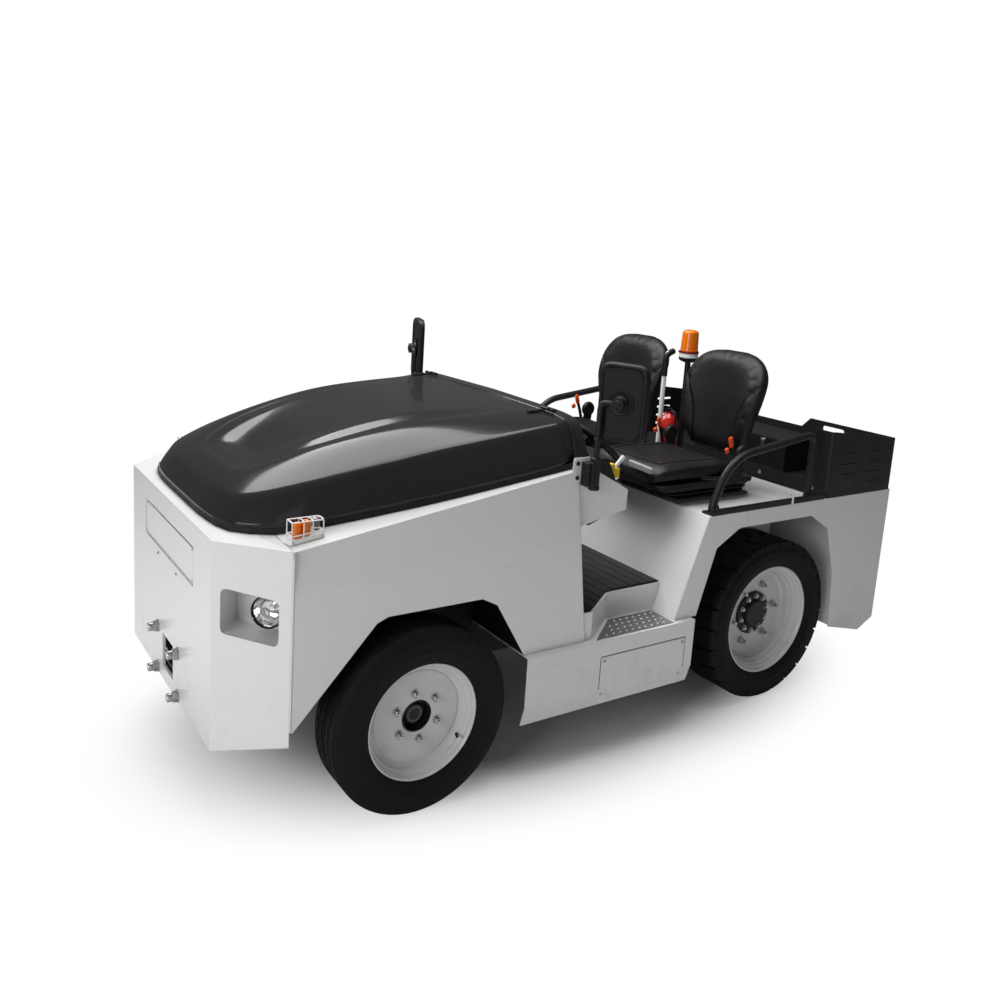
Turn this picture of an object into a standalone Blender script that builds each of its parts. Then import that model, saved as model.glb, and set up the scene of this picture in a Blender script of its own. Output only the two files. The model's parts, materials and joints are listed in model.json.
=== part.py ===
"""Airport baggage tug, an electric tow tractor with two seats.

Metres, +Z up, the nose looks along -Y and the vehicle's left side along +X.
The origin is on the ground under the middle of the bounding box.
"""
import math

import bmesh
import bpy
import numpy as np
from mathutils import Vector

# Driving sizes
GAP = 0.0003
CUT_OVERRUN = 0.02
SHEET = 0.005
PLATE = 0.012
WHEELBASE = 1.814
MID_AXLES_Y = -0.030
FRONT_AXLE_Y = MID_AXLES_Y - WHEELBASE / 2
REAR_AXLE_Y = MID_AXLES_Y + WHEELBASE / 2
REAR_OVERHANG = 0.741
REAR_Y = REAR_AXLE_Y + REAR_OVERHANG
SIDE_X = 0.700

# Nose
NOSE_OVERHANG = 0.674
NOSE_Y = FRONT_AXLE_Y - NOSE_OVERHANG
NOSE_HALF = 0.505
CORNER_DEPTH = 0.195
CORNER_Y = NOSE_Y + CORNER_DEPTH
NOSE_BOTTOM_Z = 0.294
CORNER_BOTTOM_Z = 0.362
NOSE_TOP_Z = 1.010
NAMEPLATE_HALF = 0.315
NAMEPLATE_BOTTOM_Z = 0.790
NAMEPLATE_HEIGHT = 0.140
NAMEPLATE_DEPTH = 0.006
TOW_SLOT_HALF = 0.070
TOW_SLOT_BOTTOM_Z = 0.345
TOW_SLOT_HEIGHT = 0.130
TOW_BOLT_HALF = 0.133
TOW_BOLT_MARGIN = 0.032
TOW_BOLT_REACH = 0.039
TOW_BOLT_RADIUS = 0.015
LAMP_LOW_Z = 0.690
LAMP_HIGH_Z = 0.862
LAMP_DROP = 0.020
LAMP_START_SHARE = 0.12
LAMP_END_SHARE = 0.84
LAMP_CORNER = 0.022
LAMP_BUCKET_DEPTH = 0.120
HEADLAMP_RADIUS = 0.056
HEADLAMP_DEPTH = 0.060
LAMP_CENTRE_SHARE = 0.65

# Front side panels
FOLD_FRONT_Z = 0.865
FOLD_REAR_Z = 0.909
BEND_X = 0.685
BEND_FRONT_Z = 1.002
PANEL_TOP_REAR_Z = 1.166
PANEL_REAR_TOP_Y = -0.305
PANEL_REAR_FOLD_Y = -0.279
PANEL_REAR_LOW_Y = -0.202
PANEL_LOW_Z = 0.4865
ARCH_FRONT_LOW_Z = 0.405
ARCH_FRONT_REACH = 0.182
ARCH_FRONT_Y = FRONT_AXLE_Y - ARCH_FRONT_REACH
ARCH_TOP_FRONT_REACH = 0.140
ARCH_TOP_FRONT_Y = FRONT_AXLE_Y - ARCH_TOP_FRONT_REACH
ARCH_TOP_REAR_REACH = 0.232
ARCH_TOP_REAR_Y = FRONT_AXLE_Y + ARCH_TOP_REAR_REACH
ARCH_SHOULDER_REACH = 0.299
ARCH_SHOULDER_Y = FRONT_AXLE_Y + ARCH_SHOULDER_REACH
ARCH_REAR_REACH = 0.433
ARCH_REAR_Y = FRONT_AXLE_Y + ARCH_REAR_REACH
ARCH_FRONT_Z = 0.723
ARCH_TOP_Z = 0.740
ARCH_SHOULDER_Z = 0.705

# Hood, cowl and dashboard
HOOD_REAR_Y = -0.300
HOOD_FRONT_INSET = 0.043
HOOD_LENGTH = HOOD_REAR_Y - NOSE_Y - HOOD_FRONT_INSET
STRIP_REAR_WIDTH = 0.030
HOOD_HALF = BEND_X - STRIP_REAR_WIDTH
HOOD_TOP_Z = 1.352
HOOD_SHELL = 0.006
HOOD_AXIS_RISE = 0.012
HOOD_OPEN_DEGREES = 55.0
HOOD_SMOOTH_DEGREES = 40.0
SEAL_HEIGHT = 0.022
SEAL_WIDTH = 0.012
COWL_GAP = 0.010
COWL_DEPTH = 0.060
COWL_STEP = 0.010
DASH_LOW_Z = 0.945
DASH_INSET = 0.0095
DASH_HALF = BEND_X - DASH_INSET
DASH_LIP_Y = -0.050
DASH_REAR_Y = -0.090
DASH_TOP_Z = 1.235
DASH_LIP_LOW_Z = 0.990
DASH_LIP_HIGH_Z = 1.070
WING_FRONT_Z = 1.200
WING_TONGUE = 0.060
WING_SHEET = 0.005
STEERING_X = 0.300
STEERING_TILT_DEGREES = 40.0
STEERING_RADIUS = 0.180
STEERING_RIM = 0.014
SPOKE_SHARE = 0.7
STEERING_COLUMN_LENGTH = 0.170
STEERING_BASE_Y = -0.090
STEERING_BASE_Z = 1.020
STEERING_COLUMN_RADIUS = 0.032

# Cab floor, skirts and steps
FLOOR_Z = 0.600
FLOOR_HALF = 0.565
MAT_THICKNESS = 0.006
MAT_INSET = 0.006
SKIRT_PROUD = 0.027
SKIRT_X = SIDE_X + SKIRT_PROUD
SKIRT_FRONT_Y = ARCH_REAR_Y - GAP * 3
SKIRT_REAR_Y = 0.347
SKIRT_TOP_Z = 0.4862
SKIRT_FOLD_Z = 0.285
SKIRT_LOW_Z = 0.208
SKIRT_TUCK = 0.022
STEP_REAR_Y = 0.246
STEP_CORNER_Y = 0.000
STEP_FRONT_Y = -0.186

# Seat riser and deck
DECK_Z = 0.913
RISER_TOP_Y = 0.400
RISER_LOW_Y = 0.252
RISER_LOW_Z = 0.487
CORE_HALF = 0.425
CORE_LOW_Z = 0.470

# Rear fenders, tail and box
FENDER_ARCH_LOW_REACH = 0.500
FENDER_ARCH_LOW_Y = REAR_AXLE_Y - FENDER_ARCH_LOW_REACH
FENDER_ARCH_FRONT_REACH = 0.417
FENDER_ARCH_FRONT_Y = REAR_AXLE_Y - FENDER_ARCH_FRONT_REACH
FENDER_ARCH_FRONT_Z = 0.769
FENDER_ARCH_TOP_FRONT_REACH = 0.287
FENDER_ARCH_TOP_FRONT_Y = REAR_AXLE_Y - FENDER_ARCH_TOP_FRONT_REACH
FENDER_ARCH_TOP_REAR_REACH = 0.177
FENDER_ARCH_TOP_REAR_Y = REAR_AXLE_Y + FENDER_ARCH_TOP_REAR_REACH
FENDER_ARCH_TOP_Z = 0.843
FENDER_ARCH_REAR_REACH = 0.307
FENDER_ARCH_REAR_Y = REAR_AXLE_Y + FENDER_ARCH_REAR_REACH
FENDER_ARCH_REAR_Z = 0.767
FENDER_ARCH_BACK_REACH = 0.385
FENDER_ARCH_BACK_Y = REAR_AXLE_Y + FENDER_ARCH_BACK_REACH
FENDER_ARCH_BACK_Z = 0.538
FENDER_FOOT_REACH = 0.407
FENDER_FOOT_Y = REAR_AXLE_Y + FENDER_FOOT_REACH
FENDER_FOOT_Z = 0.271
FENDER_KICK = 0.103
FENDER_LOW_Y = REAR_Y - FENDER_KICK
FENDER_LOW_Z = 0.214
FENDER_TAIL_Z = 0.264
TAIL_FRONT_REACH = 0.016
TAIL_FRONT_Y = FENDER_FOOT_Y + TAIL_FRONT_REACH
BOX_LENGTH = 0.478
BOX_FRONT_Y = REAR_Y - BOX_LENGTH
DECK_REAR_Y = BOX_FRONT_Y - PLATE
BOX_FRONT_Z = 1.219
BOX_REAR_Z = 1.160
BOX_DIP_Z = 1.112
BOX_DIP_HALF = 0.163
BOX_DIP_SLOPE = 0.071
BOX_LIP_Z = 0.978
BOX_LIP_HALF = 0.600
BOX_SLOT_CENTRE_X = 0.354
BOX_SLOT_LENGTH = 0.126
BOX_SLOT_HEIGHT = 0.026
BOX_SLOT_Z = 1.128
BOX_ROUND = 0.020
LOUVRE_LENGTH = 0.105
LOUVRE_HEIGHT = 0.012
LOUVRE_PITCH = 0.048
LOUVRE_FIRST_Z = 0.968
LOUVRE_COLUMN_SHARES = (0.28, 0.67)
LOUVRE_ROWS = 4
LOCKER_HALF = 0.300
LOCKER_LENGTH = 0.288
LOCKER_FRONT_Y = REAR_Y - LOCKER_LENGTH
LOCKER_TOP_Z = 1.075

# Seats
SEAT_X = 0.310
SEAT_HALF = 0.235
SEAT_FRONT_Y = 0.245
SEAT_REAR_Y = 0.735
SEAT_TOP_Z = 1.105
SEAT_LOW_Z = 1.005
SUSPENSION_HALF = 0.215
SUSPENSION_FRONT_Y = 0.395
SUSPENSION_REAR_Y = 0.850
BACK_TOP_Z = 1.548
BACK_LEAN = 0.105
BACK_HALF = 0.250
BACK_THICKNESS = 0.110
BACK_LOW_Z = 1.030
BACK_TAPER_SHARE = 0.25
BACK_REAR_SHARE = 0.86

# Handrails, mirrors, beacon, small carried pieces
RAIL_RADIUS = 0.017
RAIL_INSET = 0.035
RAIL_X = SIDE_X - RAIL_INSET
RAIL_FOOT_Y = 0.445
RAIL_RISE_Y = 0.505
RAIL_BEND_Z = 1.085
RAIL_FRONT_Z = 1.150
RAIL_REAR_Z = 1.212
RAIL_REAR_REACH = 0.090
RAIL_REAR_Y = BOX_FRONT_Y - RAIL_REAR_REACH
MIRROR_X = 0.765
MIRROR_Y = -0.200
MIRROR_POST_Y = -0.240
MIRROR_Z = 1.425
MIRROR_HALF_WIDTH = 0.098
MIRROR_HALF_HEIGHT = 0.148
MIRROR_DEPTH = 0.028
MIRROR_TURN_DEGREES = 20.0
MIRROR_BOSS_RADIUS = 0.024
MIRROR_BOSS_REACH = 0.030
MIRROR_POST_RADIUS = 0.011
MIRROR_ARM_BEND = 0.030
MIRROR_SOCKET_RADIUS = 0.019
MIRROR_SOCKET_HEIGHT = 0.110
MIRROR_POST_LOW_Z = 1.095
BEACON_Y = 0.905
BEACON_RADIUS = 0.046
BEACON_TAPER_SHARE = 0.86
BEACON_TOP_Z = 1.600
BEACON_HEIGHT = 0.148
BEACON_LOW_Z = BEACON_TOP_Z - BEACON_HEIGHT
POLE_RADIUS = 0.014
MARKER_SETBACK = 0.071
MARKER_Y = CORNER_Y + MARKER_SETBACK
MARKER_X = 0.618
MARKER_LENGTH = 0.120
MARKER_DEPTH = 0.048
MARKER_HEIGHT = 0.058
LEVER_Y = 0.735
LEVER_X = 0.020
LEVER_TOP_Z = 1.490
LEVER_RADIUS = 0.011
LEVER_BEND = 0.020
EXTINGUISHER_X = -0.005
EXTINGUISHER_Y = 0.815
EXTINGUISHER_RADIUS = 0.048
EXTINGUISHER_HEIGHT = 0.300

# Running gear
FRAME_HALF = 0.350
FRAME_LOW_Z = 0.335
FRAME_TOP_Z = 0.460
RAIL_WIDTH = 0.080
FRONT_WHEEL_X = 0.741
FRONT_TYRE_RADIUS = 0.341
FRONT_TYRE_WIDTH = 0.178
FRONT_TREAD_WIDTH = 0.132
FRONT_RIM_RADIUS = 0.2135
REAR_WHEEL_X = 0.685
REAR_TYRE_RADIUS = 0.368
REAR_TYRE_WIDTH = 0.228
REAR_TREAD_WIDTH = 0.205
LUG_DEPTH = 0.018
REAR_RIM_RADIUS = 0.2494
KINGPIN_X = 0.525
KNUCKLE_RADIUS = 0.034
KNUCKLE_HEIGHT = 0.110
FORK_PLATE = 0.022
SPINDLE_RADIUS = 0.030
STEER_DEGREES = 30.0
STEERING_RATIO = 12.0
AXLE_RADIUS = 0.058
DIFF_RADIUS = 0.150
DIFF_FLAT_SHARE = 0.55
FRONT_SEGMENTS = 32
REAR_SEGMENTS = 48
RIM_LIP = 0.011
RIM_WALL = 0.007
DISC_PLATE = 0.014
HUB_RADIUS = 0.105
FRONT_HUB_RADIUS = 0.057
FRONT_HUB_REACH = 0.008
REAR_HUB_RADIUS = 0.098
REAR_HUB_REACH = 0.022
FRONT_DISH = 0.052
REAR_DISH = 0.100
BATTERY_HALF = FRAME_HALF - SHEET
BATTERY_SETBACK = 0.086
BATTERY_FRONT_Y = CORNER_Y + BATTERY_SETBACK
BATTERY_REAR_Y = -0.470
BATTERY_TOP_Z = 0.965

# Tow gear
HITCH_HALF = 0.075
HITCH_LOW_Z = 0.330
HITCH_HEIGHT = 0.210
HITCH_REACH = 0.032
HITCH_PLATE = 0.024
HITCH_MOUTH_DEPTH = 0.090
HITCH_PIN_RADIUS = 0.016
HITCH_PIN_TRAVEL = 0.190
HITCH_PIN_INSET = 0.060
HITCH_CLEARANCE = 0.008


def clear_scene():
    for thing in list(bpy.data.objects):
        bpy.data.objects.remove(thing, do_unlink=True)


def material(name, colour, roughness=0.5, metallic=0.0):
    made = bpy.data.materials.new(name)
    made.use_nodes = True
    shader = made.node_tree.nodes["Principled BSDF"]
    shader.inputs["Base Color"].default_value = (*colour, 1.0)
    shader.inputs["Roughness"].default_value = roughness
    shader.inputs["Metallic"].default_value = metallic
    return made


WHITE = ((0.78, 0.78, 0.77), 0.35, 0.0)
DARK = ((0.045, 0.046, 0.048), 0.28, 0.0)
BLACK = ((0.022, 0.022, 0.024), 0.5, 0.0)
RUBBER = ((0.018, 0.018, 0.018), 0.85, 0.0)
STEEL = ((0.30, 0.30, 0.31), 0.4, 0.9)
VINYL = ((0.025, 0.025, 0.027), 0.6, 0.0)
GLASS = ((0.80, 0.82, 0.85), 0.08, 0.0)
AMBER = ((0.90, 0.32, 0.02), 0.25, 0.0)
RED = ((0.55, 0.02, 0.02), 0.35, 0.0)


def finish(name, mesh_or_bm, look, smooth_degrees=None):
    """Links a mesh as a named object with a material of its own and faces out."""
    if isinstance(mesh_or_bm, bmesh.types.BMesh):
        bmesh.ops.recalc_face_normals(mesh_or_bm, faces=mesh_or_bm.faces)
        mesh = bpy.data.meshes.new(name)
        mesh_or_bm.to_mesh(mesh)
        mesh_or_bm.free()
    else:
        mesh = mesh_or_bm
    made = bpy.data.objects.new(name, mesh)
    bpy.context.scene.collection.objects.link(made)
    if look is not None:
        mesh.materials.append(material(name, *look))
    if smooth_degrees is not None:
        mesh.shade_smooth()
        mesh.set_sharp_from_angle(angle=math.radians(smooth_degrees))
    return made


def skin(name, rings, look, closed_path=False, smooth_degrees=None):
    """Joins equal closed rings of points into one closed body."""
    bm = bmesh.new()
    loops = [[bm.verts.new(p) for p in ring] for ring in rings]
    count = len(loops[0])
    pairs = list(zip(loops, loops[1:]))
    if closed_path:
        pairs.append((loops[-1], loops[0]))
    for a, b in pairs:
        for i in range(count):
            j = (i + 1) % count
            bm.faces.new((a[i], a[j], b[j], b[i]))
    if not closed_path:
        bm.faces.new(loops[0])
        bm.faces.new(loops[-1])
    return finish(name, bm, look, smooth_degrees)


AXES = {"x": (1, 2, 0), "y": (0, 2, 1), "z": (0, 1, 2)}


def along(axis, u, v, w):
    """A point from two in-plane values and one along the named axis."""
    out = [0.0, 0.0, 0.0]
    for slot, value in zip(AXES[axis], (u, v, w)):
        out[slot] = value
    return tuple(out)


def prism(name, outline, axis, low, high, look, smooth_degrees=None):
    """Extrudes an outline of (u, v) points along an axis."""
    rings = [[along(axis, u, v, w) for u, v in outline] for w in (low, high)]
    return skin(name, rings, look, smooth_degrees=smooth_degrees)


def block(name, x, y, z, look):
    outline = [(x[0], y[0]), (x[1], y[0]), (x[1], y[1]), (x[0], y[1])]
    return prism(name, outline, "z", z[0], z[1], look)


def rounded(corners, radius, steps=4):
    """An outline with each corner replaced by an arc of the given radius."""
    points = [Vector(c) for c in corners]
    out = []
    count = len(points)
    for i, corner in enumerate(points):
        back = (points[i - 1] - corner)
        ahead = (points[(i + 1) % count] - corner)
        turn = back.angle(ahead)
        reach = min(radius / math.tan(turn / 2), back.length / 2, ahead.length / 2)
        start = corner + back.normalized() * reach
        end = corner + ahead.normalized() * reach
        for k in range(steps + 1):
            t = k / steps
            p = start * (1 - t) ** 2 + corner * 2 * t * (1 - t) + end * t ** 2
            out.append((p.x, p.y))
    return out


def turned(name, profile, centre, look, segments=32, smooth_degrees=30.0, ripple=None):
    """Turns a closed (x, radius) profile about an X axis through the centre."""
    bm = bmesh.new()
    rings = []
    for k in range(segments):
        angle = 2 * math.pi * k / segments
        ring = []
        for index, (x, r) in enumerate(profile):
            r = r if ripple is None else ripple(index, k, r)
            ring.append(bm.verts.new((centre[0] + x, centre[1] + r * math.cos(angle),
                                      centre[2] + r * math.sin(angle))))
        rings.append(ring)
    count = len(profile)
    for k in range(segments):
        a = rings[k]
        b = rings[(k + 1) % segments]
        for i in range(count):
            j = (i + 1) % count
            bm.faces.new((a[i], a[j], b[j], b[i]))
    bmesh.ops.remove_doubles(bm, verts=bm.verts, dist=GAP / 100)
    return finish(name, bm, look, smooth_degrees)


def cylinder(name, start, end, radius, look, segments=24, end_radius=None):
    """A straight round bar or cone between two points."""
    start = Vector(start)
    end = Vector(end)
    direction = (end - start).normalized()
    side = direction.orthogonal().normalized()
    other = direction.cross(side)
    rings = []
    for centre, r in ((start, radius), (end, radius if end_radius is None else end_radius)):
        rings.append([centre + (side * math.cos(a) + other * math.sin(a)) * r
                      for a in (2 * math.pi * k / segments for k in range(segments))])
    return skin(name, rings, look, smooth_degrees=30.0)


def bent_tube(name, points, radius, look, segments=12, steps=4, bend=0.05):
    """A round tube whose centre line runs through filleted corners."""
    corners = [Vector(p) for p in points]
    path = [corners[0]]
    for i in range(1, len(corners) - 1):
        back = corners[i - 1] - corners[i]
        ahead = corners[i + 1] - corners[i]
        reach = min(bend, back.length / 2, ahead.length / 2)
        start = corners[i] + back.normalized() * reach
        end = corners[i] + ahead.normalized() * reach
        for k in range(steps + 1):
            t = k / steps
            path.append(start * (1 - t) ** 2 + corners[i] * 2 * t * (1 - t) + end * t ** 2)
    path.append(corners[-1])
    rings = []
    side = (path[1] - path[0]).orthogonal().normalized()
    for i, point in enumerate(path):
        a = path[max(i - 1, 0)]
        b = path[min(i + 1, len(path) - 1)]
        direction = (b - a).normalized()
        side = (side - direction * side.dot(direction)).normalized()
        other = direction.cross(side)
        rings.append([point + (side * math.cos(t) + other * math.sin(t)) * radius
                      for t in (2 * math.pi * k / segments for k in range(segments))])
    return skin(name, rings, look, smooth_degrees=35.0)


def combine(target, tool, operation):
    """Applies a Boolean with a hidden guide that stays in the file."""
    modifier = target.modifiers.new(operation.lower(), "BOOLEAN")
    modifier.operation = operation
    modifier.solver = "EXACT"
    modifier.object = tool
    tool.hide_render = True
    tool.display_type = "WIRE"
    return target


def cut(target, *tools):
    for tool in tools:
        combine(target, tool, "DIFFERENCE")
    return target


def fuse(target, *tools):
    for tool in tools:
        combine(target, tool, "UNION")
    return target


def mirrored(points, side):
    return [(x * side, y, z) for x, y, z in points]


def side_name(side):
    return "left" if side > 0 else "right"


def pivot(name, place, rotation=(0.0, 0.0, 0.0)):
    empty = bpy.data.objects.new(name, None)
    bpy.context.scene.collection.objects.link(empty)
    empty.location = place
    empty.rotation_euler = rotation
    return empty


def hang(empty, *children):
    """Parents pieces to a pivot without moving them."""
    bpy.context.view_layer.update()
    for child in children:
        child.parent = empty
        child.matrix_parent_inverse = empty.matrix_world.inverted()


# Chassis

def chassis():
    front = NOSE_Y + PLATE + GAP
    rear = TAIL_FRONT_Y - GAP
    frame = block("chassis_frame", (-FRAME_HALF, FRAME_HALF), (front, rear),
                  (FRAME_LOW_Z, FRAME_TOP_Z), BLACK)
    inner = FRAME_HALF - RAIL_WIDTH
    bays = ((front + RAIL_WIDTH * 2, FRONT_AXLE_Y - RAIL_WIDTH),
            (FRONT_AXLE_Y + RAIL_WIDTH, MID_AXLES_Y),
            (MID_AXLES_Y + RAIL_WIDTH, REAR_AXLE_Y - DIFF_RADIUS - RAIL_WIDTH))
    for index, (start, end) in enumerate(bays):
        cut(frame, block("frame_bay_%d" % index, (-inner, inner), (start, end),
                         (FRAME_LOW_Z - CUT_OVERRUN, FRAME_TOP_Z + CUT_OVERRUN), None))
    diff = REAR_AXLE_Y - DIFF_RADIUS - RAIL_WIDTH / 4
    notch_half = FRAME_HALF + CUT_OVERRUN
    cut(frame, block("frame_axle_notch", (-inner, inner), (diff, rear - RAIL_WIDTH),
                     (FRAME_LOW_Z - CUT_OVERRUN, FRAME_TOP_Z + CUT_OVERRUN), None))
    cut(frame, block("frame_tow_pocket", (-TOW_SLOT_HALF, TOW_SLOT_HALF),
                     (front - CUT_OVERRUN, front + RAIL_WIDTH),
                     (TOW_SLOT_BOTTOM_Z, FRAME_TOP_Z + CUT_OVERRUN), None))
    axle_top = REAR_TYRE_RADIUS + AXLE_RADIUS + GAP
    cut(frame, block("frame_axle_saddle", (-notch_half, notch_half),
                     (REAR_AXLE_Y - AXLE_RADIUS - GAP, REAR_AXLE_Y + AXLE_RADIUS + GAP),
                     (FRAME_LOW_Z - CUT_OVERRUN, axle_top), None))
    block("battery_pack", (-BATTERY_HALF, BATTERY_HALF), (BATTERY_FRONT_Y, BATTERY_REAR_Y),
          (FRAME_TOP_Z + GAP, BATTERY_TOP_Z), BLACK)


# Nose panel with chamfered corners

def nose_outline(inset):
    """Plan of the nose from the right side round to the left, pushed inwards."""
    run = SIDE_X - NOSE_HALF
    rise = CORNER_Y - NOSE_Y
    slope = math.hypot(run, rise)
    shift = inset * (slope - run) / rise
    half = NOSE_HALF - shift
    end = SIDE_X - inset * slope / rise
    return [(-end, CORNER_Y), (-half, NOSE_Y + inset), (half, NOSE_Y + inset), (end, CORNER_Y)]


def nose():
    top = NOSE_TOP_Z
    outer = nose_outline(0.0)
    inner = nose_outline(PLATE)
    outline = outer + inner[::-1]
    panel = prism("nose_panel", outline, "z", NOSE_BOTTOM_Z, top, WHITE)
    back = NOSE_Y - CUT_OVERRUN
    rim = [(x, y) for x, y, z in plan_inset(full_ring(hood_base()), SEAL_WIDTH)
           if y < CORNER_Y + GAP * 4]
    ledge = nose_outline(PLATE / 2)
    shelf = prism("nose_shelf", ledge + rim, "z", top - SHEET, top, None)
    fuse(panel, shelf)
    plate_top = NAMEPLATE_BOTTOM_Z + NAMEPLATE_HEIGHT
    cut(panel, block("nameplate_recess", (-NAMEPLATE_HALF, NAMEPLATE_HALF),
                     (back, NOSE_Y + NAMEPLATE_DEPTH), (NAMEPLATE_BOTTOM_Z, plate_top), None))
    cut(panel, block("tow_slot", (-TOW_SLOT_HALF, TOW_SLOT_HALF),
                     (back, NOSE_Y + PLATE + CUT_OVERRUN),
                     (TOW_SLOT_BOTTOM_Z, TOW_SLOT_BOTTOM_Z + TOW_SLOT_HEIGHT), None))
    for side in (-1, 1):
        for z in (TOW_SLOT_BOTTOM_Z - TOW_BOLT_MARGIN, TOW_SLOT_BOTTOM_Z + TOW_SLOT_HEIGHT):
            bolt = (TOW_BOLT_HALF * side, NOSE_Y + PLATE / 2, z)
            tip = (TOW_BOLT_HALF * side, NOSE_Y - TOW_BOLT_REACH, z)
            fuse(panel, cylinder("tow_bolt_%s_%d" % (side_name(side), z * 1000), bolt, tip,
                                 TOW_BOLT_RADIUS, None, 6))
    reach = SIDE_X + CUT_OVERRUN
    low = NOSE_BOTTOM_Z - CUT_OVERRUN
    for side in (-1, 1):
        wedge = [(NOSE_HALF * side, NOSE_BOTTOM_Z), (reach * side, CORNER_BOTTOM_Z),
                 (reach * side, low), (NOSE_HALF * side, low)]
        cut(panel, prism("corner_foot_" + side_name(side), wedge, "y",
                         back, CORNER_Y + CUT_OVERRUN, None))
        cut(panel, lamp_opening("lamp_hole_" + side_name(side), side, PLATE + CUT_OVERRUN,
                                CUT_OVERRUN, 0.0))
        lamp(side)


def corner_frame(side):
    """Start, direction along the chamfer and inward normal of one corner face."""
    start = Vector((NOSE_HALF * side, NOSE_Y, 0.0))
    end = Vector((SIDE_X * side, CORNER_Y, 0.0))
    run = (end - start).normalized()
    inward = Vector((-run.y * side, run.x * side, 0.0))
    return start, run, inward, (end - start).length


def lamp_opening(name, side, depth, outset, margin, look=None):
    start, run, inward, length = corner_frame(side)
    low = LAMP_LOW_Z + margin
    high = LAMP_HIGH_Z - margin
    a = length * LAMP_START_SHARE + margin
    b = length * LAMP_END_SHARE - margin
    corners = [(a, low + LAMP_DROP), (b, low), (b, high - LAMP_DROP), (a, high)]
    outline = rounded(corners, LAMP_CORNER)
    rings = []
    for d in (-outset, depth):
        rings.append([start + run * s + inward * d + Vector((0.0, 0.0, z)) for s, z in outline])
    return skin(name, rings, look)


def lamp(side):
    """The pocket behind a corner opening, with its round headlamp on the back wall."""
    label = side_name(side)
    start, run, inward, length = corner_frame(side)
    a = length * LAMP_START_SHARE - PLATE
    b = length * LAMP_END_SHARE + PLATE
    face = PLATE + GAP
    rings = []
    for d in (face, LAMP_BUCKET_DEPTH):
        rings.append([start + run * s + inward * d + Vector((0.0, 0.0, z))
                      for s, z in ((a, LAMP_LOW_Z - PLATE), (b, LAMP_LOW_Z - PLATE),
                                   (b, LAMP_HIGH_Z + PLATE), (a, LAMP_HIGH_Z + PLATE))])
    bucket = skin("lamp_bucket_" + label, rings, WHITE)
    cut(bucket, lamp_opening("lamp_pocket_" + label, side, LAMP_BUCKET_DEPTH - SHEET,
                             CUT_OVERRUN, 0.0))
    middle = start + run * (a + (b - a) * LAMP_CENTRE_SHARE)
    centre = middle + Vector((0.0, 0.0, (LAMP_LOW_Z + LAMP_HIGH_Z) / 2))
    rear = centre + inward * (LAMP_BUCKET_DEPTH - SHEET - GAP)
    front = rear - inward * HEADLAMP_DEPTH
    cylinder("headlamp_" + label, rear, front, HEADLAMP_RADIUS, GLASS, segments=28)


# Front side panels

def strip_z(y):
    """Height of the strip along the hood's seal."""
    share = max(0.0, (y - CORNER_Y) / (PANEL_REAR_TOP_Y - CORNER_Y))
    return NOSE_TOP_Z + (PANEL_TOP_REAR_Z - NOSE_TOP_Z) * share


def side_panel(side):
    label = side_name(side)
    front = CORNER_Y + GAP
    rings = []
    edge = [p for p in plan_inset(full_ring(hood_base()), SEAL_WIDTH) if p[0] > 0 and p[1] > front - GAP * 8]
    for x, y, z in edge:
        top_y = min(max(y, front), PANEL_REAR_TOP_Y)
        share = (top_y - front) / (PANEL_REAR_TOP_Y - front)
        low_y = front + (PANEL_REAR_LOW_Y - front) * share
        fold_y = front + (PANEL_REAR_FOLD_Y - front) * share
        fold_z = FOLD_FRONT_Z + (FOLD_REAR_Z - FOLD_FRONT_Z) * share
        seal_z = min(z - SEAL_HEIGHT, strip_z(top_y))
        bend_z = BEND_FRONT_Z + (PANEL_TOP_REAR_Z - BEND_FRONT_Z) * share
        low_z = CORNER_BOTTOM_Z
        outer = [(SIDE_X, low_y, low_z), (SIDE_X, fold_y, fold_z), (BEND_X, top_y, bend_z),
                 (x, top_y, seal_z)]
        inner = [(x, top_y, seal_z - SHEET), (BEND_X - SHEET, top_y, bend_z - SHEET),
                 (SIDE_X - SHEET, fold_y, fold_z), (SIDE_X - SHEET, low_y, low_z)]
        rings.append(mirrored(outer + inner, side))
    panel = skin("side_panel_" + label, rings, WHITE)
    reach = CUT_OVERRUN
    low = CORNER_BOTTOM_Z - reach
    arch = [(CORNER_Y - reach, low), (CORNER_Y - reach, ARCH_FRONT_LOW_Z),
            (CORNER_Y + PLATE, ARCH_FRONT_LOW_Z), (ARCH_FRONT_Y, ARCH_FRONT_Z),
            (ARCH_TOP_FRONT_Y, ARCH_TOP_Z), (ARCH_TOP_REAR_Y, ARCH_TOP_Z),
            (ARCH_SHOULDER_Y, ARCH_SHOULDER_Z), (ARCH_REAR_Y, PANEL_LOW_Z),
            (PANEL_REAR_LOW_Y + reach, PANEL_LOW_Z), (PANEL_REAR_LOW_Y + reach, low)]
    ends = sorted(((SIDE_X - SHEET - reach) * side, (SIDE_X + reach) * side))
    cut(panel, prism("front_arch_" + label, arch, "x", ends[0], ends[1], None))


# Hood

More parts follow.
